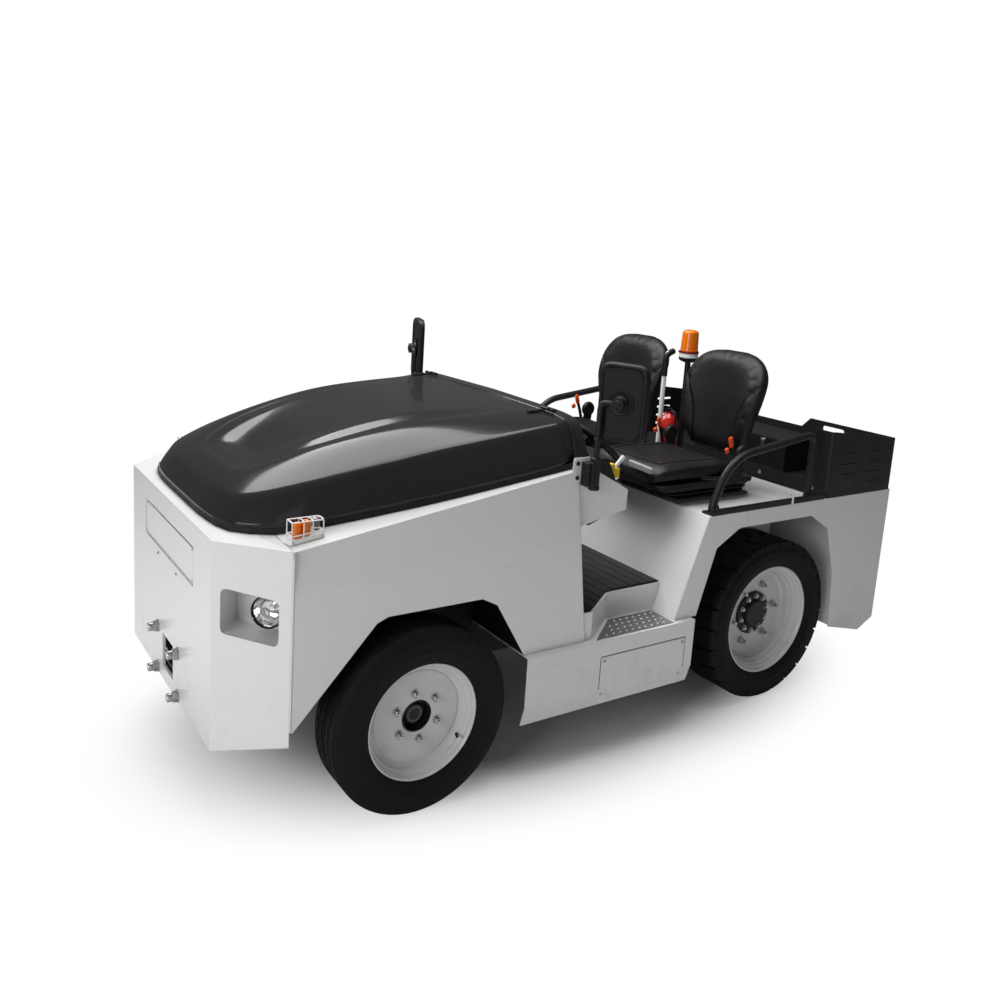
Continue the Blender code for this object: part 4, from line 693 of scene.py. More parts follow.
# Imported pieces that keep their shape

KEPT = {
    "body": "nose_panel side_panel_* dash_wing_* floor_plate seat_deck fender_* "
            "tail_block skirt_* lamp_bucket_*",
    "hood": "hood cowl",
    "black": "chassis_frame rear_box locker handrail_* mirror_arm_* beacon_pole seat_base_*",
    "plastic": "mirror_*",
    "console": "dash steering_column",
    "cast": "front_axle rear_axle knuckle_* tow_hitch battery_pack",
    "seal": "hood_seal floor_mat",
    "rim": "front_rim_* rear_rim_*",
    "steel": "tow_pin",
    "red": "extinguisher",
    "bright": "parking_lever",
}


class TUG_OT_packed_finishes(bpy.types.Operator):
    """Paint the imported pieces"""
    bl_idname = "tug.packed_finishes"
    bl_label = "Packed pieces"

    def execute(self, context):
        for finish, names in KEPT.items():
            for name in names.split():
                for side in (("left", "right") if "*" in name else ("",)):
                    node = bpy.data.objects[name.replace("*", side)]
                    node.material_slots[0].material = FINISH[finish]
        return {"FINISHED"}


# Wheels

class TugSizes(bpy.types.PropertyGroup):
    """Sizes of the added details."""
    front_groove: length("Front tread groove", "Depth of the ribs' grooves", 0.008)
    lug_depth: length("Rear lug", "Depth of the rear tyre's grooves", 0.018)
    lug_gap: length("Rear lug gap", "Width of the groove between two lugs", 0.011)
    lugs: IntProperty(name="Rear lugs", description="Lugs round each side of a tyre", default=24)
    nut: length("Wheel nut", "Radius of a wheel nut", 0.0125)
    front_nut_circle: length("Front nut circle", "Radius of the ring of front nuts", 0.087)
    rear_nut_circle: length("Rear nut circle", "Radius of the ring of rear nuts", 0.137)
    piping: length("Seat piping", "Radius of the seams' piping", 0.0028)


def tyre_place(node):
    """Centre, radius and width of a tyre."""
    low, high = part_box(node)
    centre = (low + high) / 2
    return centre, (high.z - low.z) / 2, high.x - low.x


def tyre_loop(half, bead, rim, radius, flat, tread):
    """Closed section: sidewall with mould rings, rounded shoulder, and the tread's points."""
    wall = radius - rim
    side = [(bead, rim - 0.006), (bead + 0.001, rim + 0.004), (bead + 0.006, rim + 0.010),
            (half * 0.95, rim + wall * 0.20), (half * 0.985, rim + wall * 0.31),
            (half * 0.985 + 0.0012, rim + wall * 0.33), (half * 0.985 + 0.0012, rim + wall * 0.36),
            (half * 0.99, rim + wall * 0.38), (half * 0.998, rim + wall * 0.52),
            (half * 0.985, rim + wall * 0.62), (half * 0.985, rim + wall * 0.64),
            (half * 0.955, rim + wall * 0.70), (half * 0.93, rim + wall * 0.79),
            (flat + (half * 0.93 - flat) * 0.6, rim + wall * 0.90),
            (flat + (half * 0.93 - flat) * 0.2, rim + wall * 0.965)]
    left = side + [(x, radius - drop) for x, drop in tread]
    return left + [(-x, r) for x, r in left[::-1]]


def front_tyre(label, side, sizes):
    centre, radius, width = tyre_place("front_tyre_" + label)
    half = width / 2
    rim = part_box("front_rim_" + label)[1].z - centre.z
    flat = half * 0.76
    deep = sizes.front_groove
    tread = [(flat, 0.0004), (flat * 0.66, 0.0), (flat * 0.62, deep), (flat * 0.54, deep),
             (flat * 0.50, 0.0), (flat * 0.22, 0.0), (flat * 0.18, deep), (flat * 0.09, deep),
             (flat * 0.05, 0.0)]
    loop = tyre_loop(half, half * 0.86, rim, radius, flat, tread)
    count = len(loop)
    first = count // 2 - len(tread)

    def ripple(k, i):
        depth = min(i, count - 1 - i) - first
        zig = 0.003 if (k // 2) % 2 else -0.003
        notch = -0.006 if depth in (-1, -2) and k % 4 == 0 else 0.0
        return (zig if 1 <= depth <= 8 else 0.0), notch, 0.0

    form = Form()
    form.ring(loop, centre, (side, 0, 0), 192, ripple)
    tyre = form.done("front_tyre_%s_treaded" % label, "tyre", "front_wheel_" + label)
    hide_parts("front_tyre_" + label)


def rear_tyre(label, side, sizes):
    centre, radius, width = tyre_place("rear_tyre_" + label)
    half = width / 2
    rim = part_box("rear_rim_" + label)[1].z - centre.z
    flat = half * 0.90
    reach = [0.93, 0.78, 0.60, 0.42, 0.24, 0.10, 0.03]
    tread = [(flat * share, 0.0) for share in reach]
    loop = tyre_loop(half, half * 0.86, rim, radius, flat, tread)
    count = len(loop)
    first = count // 2 - len(tread)
    pitch = 2 * math.pi / sizes.lugs
    gap = sizes.lug_gap / radius
    share = gap / pitch
    stops = (0.0, share * 0.22, share * 0.78, share, 0.5, 0.5 + share * 0.22,
             0.5 + share * 0.78, 0.5 + share)
    turns = [pitch * (lug + stop) for lug in range(sizes.lugs) for stop in stops]

    def ripple(k, i):
        depth = min(i, count - 1 - i) - first
        if depth < -4:
            return 0.0, 0.0, 0.0
        left = i < count // 2
        step = k % 8
        groove = step in (1, 2) if left else step in (5, 6)
        twist = 0.055 * (1.0 - max(0, depth) / 6.0)
        fall = sizes.lug_depth * (1.0, 0.9, 0.6, 0.35)[min(3, max(0, -depth))]
        if depth == 6:
            fall = 0.0
        return (0.0 if depth > -3 else -0.001), (-fall if groove else 0.0), -twist

    form = Form()
    form.ring(loop, centre, (side, 0, 0), turns, ripple)
    tyre = form.done("rear_tyre_%s_lugged" % label, "tyre", "rear_wheel_" + label)
    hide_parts("rear_tyre_" + label)


class TUG_OT_tyres(bpy.types.Operator):
    """Mould the ribbed front tyres and the lugged rear tyres"""
    bl_idname = "tug.tyres"
    bl_label = "Tyres"

    def execute(self, context):
        for label, side in SIDES:
            front_tyre(label, side, context.scene.tug_sizes)
            rear_tyre(label, side, context.scene.tug_sizes)
        return {"FINISHED"}


# Rim sections as (along from the wheel's middle, radius), from the outer lip over the dish,
# through the disc's bore and back under the tyre.
FRONT_RIM = ((0.0765, 0.2135), (0.0782, 0.2118), (0.0780, 0.2080), (0.0730, 0.2050),
             (0.0580, 0.2015), (0.0505, 0.1975), (0.0470, 0.1905), (0.0370, 0.1865),
             (0.0310, 0.1835), (0.0270, 0.1765), (0.0240, 0.1705), (0.0238, 0.1690),
             (0.0262, 0.1670), (0.0280, 0.1400), (0.0280, 0.0660), (0.0262, 0.0590),
             (0.0180, 0.0580), (0.0180, 0.1000), (0.0180, 0.1650), (0.0150, 0.1800),
             (-0.0700, 0.1860), (-0.0765, 0.2100), (-0.0765, 0.2135), (-0.0735, 0.2135),
             (-0.0690, 0.2030), (0.0000, 0.1990), (0.0660, 0.2040), (0.0725, 0.2130))
REAR_RIM = ((0.0980, 0.2494), (0.0998, 0.2475), (0.0996, 0.2430), (0.0945, 0.2395),
            (0.0810, 0.2360), (0.0770, 0.2300), (0.0640, 0.2270), (0.0600, 0.2205),
            (0.0420, 0.2175), (0.0375, 0.2115), (0.0120, 0.2080), (0.0050, 0.2020),
            (0.0005, 0.1930), (0.0002, 0.1910), (0.0025, 0.1880), (0.0030, 0.1500),
            (0.0030, 0.0600), (-0.0060, 0.0590), (-0.0060, 0.1850), (-0.0100, 0.2000),
            (-0.0900, 0.2120), (-0.0980, 0.2450), (-0.0980, 0.2494), (-0.0945, 0.2494),
            (-0.0880, 0.2370), (0.0000, 0.2330), (0.0860, 0.2380), (0.0935, 0.2490))


def rim(name, label, centre, side, section):
    """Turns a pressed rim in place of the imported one."""
    form = Form()
    form.ring(list(section), centre, (side, 0, 0), 96)
    piece = form.done(name + "_pressed", "rim", name.split("_")[0] + "_wheel_" + label,
                      smooth=30.0)
    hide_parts(name)


def front_hub(label, side, centre, sizes):
    out = Vector((side, 0, 0))
    body = "front_wheel_" + label
    face = centre + out * 0.028
    nuts = Form()
    spots = around(face, out, sizes.front_nut_circle, 6, math.radians(98))
    nuts.bolts(spots, out, sizes.nut, 0.016)
    nuts.done("front_nuts_" + label, "steel", body, smooth=25.0)
    studs = Form()
    for spot in spots:
        studs.lathe([(0.0, 0.0062), (0.021, 0.0062), (0.0225, 0.0050)], spot, out, 14)
    studs.done("front_studs_" + label, "steel", body)
    cup = Form()
    cup.ring([(0.0265, 0.0575), (0.0275, 0.0540), (-0.012, 0.0520), (-0.012, 0.0575)],
             centre, out, 48)
    cup.lathe([(-0.030, 0.0570), (-0.010, 0.0570), (-0.010, 0.0400), (0.004, 0.0385),
               (0.009, 0.0340), (0.011, 0.0150), (0.011, 0.0)], centre, out, 48)
    cup.done("front_hub_" + label, "black", body, smooth=30.0)
    valve = Form()
    foot = centre + out * 0.044 + Vector((0.0, 0.158, -0.100))
    lean = Vector((side * 0.8, -0.45, 0.30)).normalized()
    valve.lathe([(0.0, 0.0065), (0.010, 0.0060), (0.012, 0.0040), (0.030, 0.0040),
                 (0.031, 0.0052), (0.040, 0.0050), (0.041, 0.0030)], foot, lean, 14)
    valve.done("front_valve_" + label, "plastic", body)


def rear_hub(label, side, centre, sizes):
    out = Vector((side, 0, 0))
    body = "rear_wheel_" + label
    hub = Form()
    hub.lathe([(-0.012, 0.1000), (0.012, 0.1000), (0.0155, 0.0965), (0.0155, 0.0640),
               (0.0300, 0.0600), (0.0330, 0.0570), (0.0330, 0.0100), (0.0330, 0.0)],
              centre, out, 56)
    hub.done("rear_hub_" + label, "black", body, smooth=30.0)
    bolts = Form()
    bolts.bolts(around(centre + out * 0.0155, out, 0.082, 10, 0.25), out, 0.0088, 0.012)
    bolts.done("rear_hub_bolts_" + label, "steel", body, smooth=25.0)
    nuts = Form()
    spots = around(centre + out * 0.003, out, sizes.rear_nut_circle, 6, math.radians(68))
    nuts.bolts(spots, out, sizes.nut * 1.1, 0.020)
    for spot in spots:
        nuts.lathe([(0.019, 0.0085), (0.036, 0.0085), (0.038, 0.0068)], spot, out, 14)
    nuts.done("rear_nuts_" + label, "steel", body, smooth=25.0)


class TUG_OT_rims(bpy.types.Operator):
    """Press the dished rims and bolt them to their hubs"""
    bl_idname = "tug.rims"
    bl_label = "Rims and hubs"

    def execute(self, context):
        sizes = context.scene.tug_sizes
        for label, side in SIDES:
            front = tyre_place("front_tyre_" + label)[0]
            rear = tyre_place("rear_tyre_" + label)[0]
            rim("front_rim_" + label, label, front, side, FRONT_RIM)
            rim("rear_rim_" + label, label, rear, side, REAR_RIM)
            front_hub(label, side, front, sizes)
            rear_hub(label, side, rear, sizes)
        return {"FINISHED"}


# Hood and cowl

# Half outlines from the rear edge to the front centre: reach from the rear edge, half width
# and height over the nose, as shares of the hood's length, half width and rise.
HOOD_BASE = ((0.0, 1.0), (0.252, 0.977), (0.497, 0.944), (0.765, 0.867), (0.880, 0.798),
             (0.970, 0.664), (0.996, 0.435), (1.0, 0.214), (1.0, 0.0))
HOOD_SHOULDER = ((0.0, 0.885, 0.933), (0.252, 0.873, 0.798), (0.497, 0.855, 0.681),
                 (0.741, 0.809, 0.491), (0.856, 0.733, 0.380), (0.936, 0.611, 0.298),
                 (0.962, 0.405, 0.287), (0.966, 0.198, 0.287), (0.966, 0.0, 0.287))
HOOD_CROWN = ((0.0, 0.687, 0.982), (0.252, 0.656, 0.959), (0.473, 0.611, 0.901),
              (0.694, 0.550, 0.716), (0.804, 0.489, 0.570), (0.875, 0.397, 0.462),
              (0.899, 0.275, 0.424), (0.903, 0.137, 0.424), (0.903, 0.0, 0.424))
HOOD_TOP_RISE = 0.342
BULGE_LIFT = 0.011


def hood_sizes():
    """Half width, rear edge, length and top of the hood."""
    low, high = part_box("hood")
    return (high.x - low.x) / 2, high.y, high.y - low.y, high.z


def refined(points):
    """Adds a point on a smooth curve between each two of a half outline."""
    line = [Vector(p) for p in points]
    mirror = Vector((-line[-2].x, line[-2].y, line[-2].z))
    line = [line[0] * 2 - line[1]] + line + [mirror]
    out = []
    for a, b, c, d in zip(line, line[1:], line[2:], line[3:]):
        out += [b, (b + c) / 2 + (b + c - a - d) / 16]
    return out + [line[-2]]


def hood_rings():
    """Full outlines of the hood from its seal up to the middle of its top."""
    half, rear, reach, top = hood_sizes()
    nose = top - HOOD_TOP_RISE
    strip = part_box("hood_seal")[1].z
    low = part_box("hood")[0].z

    def level(table):
        return refined([(half * w, rear - reach * r, nose + HOOD_TOP_RISE * h)
                        for r, w, h in table])

    foot = refined([(half * w, rear - reach * r, low + max(0.0, (strip - low) * (1 - r / 0.88)))
                    for r, w in HOOD_BASE])
    shoulder, crown = level(HOOD_SHOULDER), level(HOOD_CROWN)
    rise = top - crown[0].z
    belly = [a.lerp(b, 0.5) + Vector((0.004 * a.x / half, 0.0, 0.002))
             for a, b in zip(foot, shoulder)]
    brow = [a.lerp(b, 0.5) + Vector((0.0, 0.0, 0.004)) for a, b in zip(shoulder, crown)]

    def pulled(across, along, lift):
        """The crown's outline drawn in; the lift fades towards the hood's rear and its tip."""
        return [Vector((p.x * across, rear + (p.y - rear) * along, p.z + rise * (1 - across)
                        + lift * math.sin(math.pi * max(0.0, (rear - p.y) / reach - 0.15) / 0.85)))
                for p in crown]

    flank = pulled(0.88, 0.99, -BULGE_LIFT)
    edge = pulled(0.72, 0.95, BULGE_LIFT)
    inner = pulled(0.5, 0.88, BULGE_LIFT)
    return [foot, belly, shoulder, brow, crown, flank, edge, inner]


def hood_shell():
    bm = bmesh.new()
    rings = []
    for ring in hood_rings():
        full = ring + [Vector((-p.x, p.y, p.z)) for p in ring[-2::-1]]
        rings.append([bm.verts.new(p) for p in full])
    creases = bm.edges.layers.float.new("crease_edge")
    for a, b in zip(rings, rings[1:]):
        for i in range(len(a) - 1):
            bm.faces.new((a[i], a[i + 1], b[i + 1], b[i]))
    top = rings[-1]
    count = len(top)
    for i in range(count // 2):
        j = count - 1 - i
        if j - 1 > i + 1:
            bm.faces.new((top[i], top[i + 1], top[j - 1], top[j]))
        else:
            bm.faces.new((top[i], top[i + 1], top[j]))
    for ring, sharp in ((rings[2], 0.85), (rings[5], 0.7), (rings[6], 0.8)):
        for a, b in zip(ring, ring[1:]):
            bm.edges.get((a, b))[creases] = sharp
    bmesh.ops.recalc_face_normals(bm, faces=bm.faces)
    if bm.faces[0].normal.x < 0:
        bmesh.ops.reverse_faces(bm, faces=bm.faces)
    mesh = bpy.data.meshes.new("hood_shell")
    bm.to_mesh(mesh)
    bm.free()
    shell = bpy.data.objects.new("hood_shell", mesh)
    bpy.context.scene.collection.objects.link(shell)
    mesh.materials.append(FINISH["hood"])
    smooth = shell.modifiers.new("smooth", "SUBSURF")
    smooth.levels = smooth.render_levels = 2
    wall = shell.modifiers.new("wall", "SOLIDIFY")
    wall.thickness = 0.005
    wall.offset = -1.0
    mesh.shade_smooth()
    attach(shell, "hood")
    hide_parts("hood")


def cowl_arch():
    """The fixed arch behind the hood, with a rounded lip, and the rubber in the joint."""
    _, rear, _, top = hood_sizes()
    low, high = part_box("cowl")
    section = [Vector((ring[0].x, 0.0, ring[0].z)) for ring in hood_rings()]
    section = [Vector((section[0].x, 0.0, low.z + 0.001))] + section + [Vector((0.0, 0.0, top))]
    path = smooth_path(section, 0.05, 5)
    path = path + [Vector((-p.x, 0.0, p.z)) for p in path[-2::-1]]

    def arch(form, front, back, outset, thick, soft):
        rings = []
        loop = ((front, outset - soft), (front + soft, outset), (back - soft, outset),
                (back, outset - soft), (back, outset - thick), (front, outset - thick))
        for i, p in enumerate(path):
            along = (path[min(i + 1, len(path) - 1)] - path[max(i - 1, 0)]).normalized()
            normal = Vector((along.z, 0.0, -along.x))
            normal = normal if normal.dot(p - Vector((0.0, 0.0, 0.9))) > 0 else -normal
            rings.append([p + normal * out + Vector((0.0, y, 0.0)) for y, out in loop])
        form.loft(rings)

    shell = Form()
    arch(shell, low.y, high.y, 0.0, 0.010, 0.003)
    piece = shell.done("cowl_arch", "hood", smooth=35.0)
    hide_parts("cowl")
    rubber = Form()
    arch(rubber, rear + 0.0015, low.y - 0.0005, -0.004, 0.010, 0.001)
    rubber.done("cowl_rubber", "seal", smooth=35.0)


class TUG_OT_hood(bpy.types.Operator):
    """Shape the glossy hood and the cowl behind it"""
    bl_idname = "tug.hood"
    bl_label = "Hood and cowl"

    def execute(self, context):
        hood_shell()
        cowl_arch()
        half, rear, _, top = hood_sizes()
        for label, side in SIDES:
            x = half * 0.687 * side
            z = top - 0.0062
            leaf = Form()
            leaf.prism(oblong(x - 0.010, rear - 0.085, x + 0.010, rear - 0.004, 0.008),
                       "z", z + 0.001, z + 0.007)
            leaf.screws([(x, rear - 0.070, z + 0.007), (x, rear - 0.030, z + 0.007)],
                        UP, 0.0065, 0.004)
            leaf.tube([(x - 0.022, rear, z + 0.010), (x + 0.022, rear, z + 0.010)], 0.0065)
            leaf.done("hood_hinge_leaf_" + label, "black", "hood", bevel=0.001)
            foot = Form()
            foot.prism(oblong(x - 0.026, rear + 0.012, x + 0.026, rear + 0.040, 0.008),
                       "z", z + 0.002, z + 0.008)
            foot.screws([(x - 0.015, rear + 0.026, z + 0.008),
                         (x + 0.015, rear + 0.026, z + 0.008)],
                        UP, 0.0065, 0.004)
            foot.done("hood_hinge_foot_" + label, "black", bevel=0.001)
        return {"FINISHED"}


# Seats

def puffed(obj, cap, pressure=4.0, voxel=0.006):
    """Swells a closed pad as cloth under pressure, limits the swelling and applies it."""
    scene = bpy.context.scene
    step = obj.modifiers.new("remesh", "REMESH")
    step.mode = "VOXEL"
    step.voxel_size = voxel
    bake(obj)
    start = [v.co.copy() for v in obj.data.vertices]
    cloth = obj.modifiers.new("cloth", "CLOTH")
    cloth.settings.use_pressure = True
    cloth.settings.uniform_pressure_force = pressure
    cloth.settings.effector_weights.gravity = 0.0
    cloth.settings.quality = 5
    cloth.settings.tension_stiffness = 25.0
    cloth.point_cache.frame_start = 1
    cloth.point_cache.frame_end = 20
    for number in range(1, 21):
        scene.frame_set(number)
    bake(obj)
    scene.frame_set(1)
    for vertex, was in zip(obj.data.vertices, start):
        moved = vertex.co - was
        if moved.length > cap:
            vertex.co = was + moved * (cap / moved.length)
    ease = obj.modifiers.new("ease", "SMOOTH")
    ease.factor = 0.5
    ease.iterations = 8
    bake(obj)
    return obj


def bake(obj):
    """Replaces the object's mesh by its mesh with all modifiers applied."""
    view = bpy.context.evaluated_depsgraph_get()
    mesh = bpy.data.meshes.new_from_object(obj.evaluated_get(view))
    obj.modifiers.clear()
    obj.data = mesh


def on_surface(obj, points, direction):
    """Drops points along a direction onto a mesh."""
    out = []
    direction = Vector(direction).normalized()
    for point in points:
        hit, spot = obj.ray_cast(Vector(point) - direction * 0.4, direction)[:2]
        if hit:
            out.append(spot)
    return out


def groove(obj, lines, width, depth):
    """Presses sewn channels into a mesh along lines of points."""
    mesh = obj.data
    marks = [p for line in lines for a, b in zip(line, line[1:])
             for p in (a.lerp(b, t / 4) for t in range(4))]
    tree = KDTree(len(marks))
    for i, mark in enumerate(marks):
        tree.insert(mark, i)
    tree.balance()
    for vertex in mesh.vertices:
        near = tree.find(vertex.co)[2]
        if near < width:
            vertex.co -= vertex.normal * depth * math.cos(near / width * math.pi / 2) ** 2


def blended(table, t):
    """Value of each column of a table at t, on a smooth curve through its rows."""
    low = max(k for k in range(len(table) - 1) if k == 0 or table[k][0] <= t)
    rows = [table[max(low - 1, 0)], table[low], table[low + 1], table[min(low + 2, len(table) - 1)]]
    u = (t - rows[1][0]) / (rows[2][0] - rows[1][0])
    out = []
    for a, b, c, d in zip(*rows):
        rise = (c - a) / 2, (d - b) / 2
        out.append((2 * u ** 3 - 3 * u * u + 1) * b + (u ** 3 - 2 * u * u + u) * rise[0]
                   + (3 * u * u - 2 * u ** 3) * c + (u ** 3 - u * u) * rise[1])
    return out


# Share of the height, half width, bolster depth and thickness.
BACK_ROWS = ((0.00, 0.66, 0.020, 0.085), (0.10, 0.74, 0.045, 0.120), (0.28, 0.86, 0.080, 0.155),
             (0.50, 0.97, 0.090, 0.165), (0.68, 1.00, 0.070, 0.145), (0.80, 0.96, 0.045, 0.120),
             (0.89, 0.85, 0.026, 0.098), (0.95, 0.69, 0.014, 0.078), (0.985, 0.48, 0.006, 0.056),
             (1.00, 0.26, 0.002, 0.036))


def seat_back(centre_x, low, high):
    """Backrest pad, a loft through BACK_ROWS."""
    half = (high.x - low.x) / 2 - 0.008
    form = Form()
    rings = []
    bottom = low.z + 0.050
    rise = high.z - 0.004 - bottom
    for k in range(29):
        share, wide, bolster, thick = blended(BACK_ROWS, 1.0 - (1.0 - k / 28) ** 1.5)
        z = bottom + rise * share
        behind = high.y - 0.004 - 0.062 * (1.0 - (z - low.z) / (high.z - low.z))
        ring = []
        for u, v in squircle(0.72):
            dish = bolster * (1.0 - abs(u) ** 2.4) * min(1.0, max(0.0, -v) * 3.0)
            ring.append((centre_x + half * wide * u, behind - thick * (1.0 - v) / 2 + dish, z))
        rings.append(ring)
    form.loft(rings)
    return form.done("seat_back_pad", "vinyl", None, smooth=180.0)


# Share of the reach, half width, drop of the top and dish.
SEAT_ROWS = ((0.00, 0.86, 0.052, 0.002), (0.03, 0.93, 0.030, 0.006), (0.10, 0.985, 0.010, 0.012),
             (0.30, 1.00, 0.002, 0.018), (0.60, 1.00, 0.002, 0.024), (0.85, 0.97, 0.006, 0.024),
             (0.96, 0.92, 0.018, 0.016), (1.00, 0.86, 0.036, 0.008))


def seat_cushion(centre_x, low, high):
    """Cushion pad, a loft through SEAT_ROWS."""
    half = (high.x - low.x) / 2 - 0.006
    reach = high.y - low.y - 0.008
    form = Form()
    rings = []
    for k in range(33):
        share, narrow, drop, dish = blended(SEAT_ROWS, (1.0 - math.cos(math.pi * k / 32)) / 2)
        top, bottom = high.z - 0.005 - drop, low.z + 0.003
        ring = []
        for u, v in squircle(0.5):
            hollow = dish * (1.0 - abs(u) ** 3.0) * max(0.0, v)
            ring.append((centre_x + half * narrow * u, low.y + 0.004 + reach * share,
                         (top + bottom) / 2 + (top - bottom) / 2 * v - hollow))
        rings.append(ring)
    form.loft(rings)
    return form.done("seat_cushion_pad", "vinyl", None, smooth=180.0)


def piping(name, lines, radius):
    """Thin cords laid in the sewn channels."""
    form = Form()
    for line in lines:
        form.tube(line, radius, sides=8)
    form.done(name, "vinyl")


def copied(obj, name, shift):
    """A second piece with the same shape, moved in its mesh."""
    twin = obj.copy()
    twin.data = obj.data.copy()
    twin.data.transform(Matrix.Translation(shift))
    twin.name = name
    bpy.context.scene.collection.objects.link(twin)
    return twin


SEAM_HALF_SHARE = 0.66


def seam_lines(back, cushion, centre_x):
    """Sewn lines of the backrest and the cushion, lying on their surfaces."""
    low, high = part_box("seat_back_left")
    half = (high.x - low.x) / 2
    lines_back, lines_cushion = [], []
    for side in (-1, 1):
        path = [(centre_x + side * half * (0.50 + 0.46 * t ** 3), 0.0,
                 low.z + 0.07 + (high.z - low.z - 0.20) * t) for t in (k / 30 for k in range(31))]
        lines_back.append(on_surface(back, [(x, low.y + 0.1, z) for x, y, z in path], BACKWARD))
    seat_low, seat_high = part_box("seat_cushion_left")
    reach = seat_high.y - seat_low.y
    width = half * SEAM_HALF_SHARE
    paths = [[(side * width, 0.16 + 0.78 * k / 24) for k in range(25)] for side in (-1, 1)]
    paths += [[(width * (-1 + k / 12), share) for k in range(25)] for share in (0.16, 0.60)]
    for path in paths:
        above = [(centre_x + x, seat_low.y + reach * share, 1.0) for x, share in path]
        lines_cushion.append(on_surface(cushion, above, (0, 0, -1)))
    return lines_back, lines_cushion


# Share of the base's height and inset of each fold.
BELLOWS_FOLDS = ((0.16, 0.008), (0.18, 0.001), (0.30, 0.0), (0.33, 0.018), (0.38, 0.018),
                 (0.42, 0.001), (0.54, 0.0), (0.57, 0.019), (0.62, 0.019), (0.66, 0.001),
                 (0.80, 0.0))


def seat_base(label, centre_x):
    """Suspension with a folded bellows, slide rails and a pan under the cushion."""
    low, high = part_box("seat_base_" + label)
    half = (high.x - low.x) / 2
    bellows = Form()
    rings = []
    height = high.z - low.z
    reach = low.y + 0.045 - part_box("seat_cushion_" + label)[0].y
    for share, inset in BELLOWS_FOLDS:
        front = low.y + 0.045 - reach * share + inset
        w = half - 0.028 + 0.050 * share - inset
        back = high.y - 0.020 - inset
        plan = oblong(-w, front, w, back, 0.055, 6)
        rings.append([(centre_x + x, y, low.z + height * share) for x, y in plan])
    bellows.loft(rings)
    piece = bellows.done("seat_bellows_" + label, "seal", smooth=50.0)
    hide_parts("seat_base_" + label)
    rails = Form()
    for side in (-1, 1):
        x = centre_x + side * (half - 0.035)
        rails.box((x - 0.014, low.y + 0.004, low.z), (x + 0.014, high.y - 0.004, low.z + 0.012))
        rails.box((x - 0.010, low.y + 0.010, low.z + 0.011),
                  (x + 0.010, high.y - 0.012, low.z + 0.016))
    rails.done("seat_rails_" + label, "cast", bevel=0.0015)
    pan = Form()
    w = half + 0.022
    plan = oblong(-w, low.y - reach + 0.062, w, high.y - 0.012, 0.055, 6)
    pan.prism([(centre_x + x, y) for x, y in plan], "z", low.z + height * 0.80, high.z + 0.004)
    pan.done("seat_pan_" + label, "plastic", bevel=0.004, segments=3)


class TUG_OT_seats(bpy.types.Operator):
    """Pad, sew and mount the two suspension seats"""
    bl_idname = "tug.seats"
    bl_label = "Seats"

    def execute(self, context):
        sizes = context.scene.tug_sizes
        box_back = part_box("seat_back_left")
        box_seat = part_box("seat_cushion_left")
        x = (box_seat[0].x + box_seat[1].x) / 2
        back = puffed(seat_back(x, *box_back), 0.008)
        cushion = puffed(seat_cushion(x, *box_seat), 0.007)
        lines_back, lines_cushion = seam_lines(back, cushion, x)
        groove(back, lines_back, 0.012, 0.005)
        groove(cushion, lines_cushion, 0.011, 0.004)
        for obj in (back, cushion):
            smooth = obj.modifiers.new("smooth", "SUBSURF")
            smooth.levels = smooth.render_levels = 1
            obj.data.shade_smooth()
        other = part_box("seat_cushion_right")
        shift = Vector(((other[0].x + other[1].x) / 2 - x, 0.0, 0.0))
        pads = {"left": (back, cushion),
                "right": (copied(back, "seat_back_pad_right", shift),
                          copied(cushion, "seat_cushion_pad_right", shift))}
        for label, (rest, seat) in pads.items():
            for pad, node in ((rest, "seat_back_"), (seat, "seat_cushion_")):
                pad.name = node + "pad_" + label
                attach(pad, "base")
                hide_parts(node + label)
            move = Vector() if label == "left" else shift
            lines = [[p + move for p in line] for line in lines_back + lines_cushion]
            piping("seat_seams_" + label, lines, sizes.piping * 0.6)
            seat_base(label, x + move.x)
        return {"FINISHED"}


# Front lamps and nose

NOSE_FACE = 0.039    # from the front of the nose panel's box back to its face
TOW_BOLT_X, TOW_BOLT_HEIGHTS = 0.133, (0.313, 0.475)
JAW_HEIGHTS, JAW_HALF = (0.356, 0.452), 0.085
JAW_CHEEKS = ((-0.092, -0.072), (0.072, 0.092))
NAMEPLATE = (-0.306, 0.800, 0.306, 0.921)


def centre_of(node):
    """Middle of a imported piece's box."""
    low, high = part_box(node)
    return (Vector(low) + Vector(high)) / 2


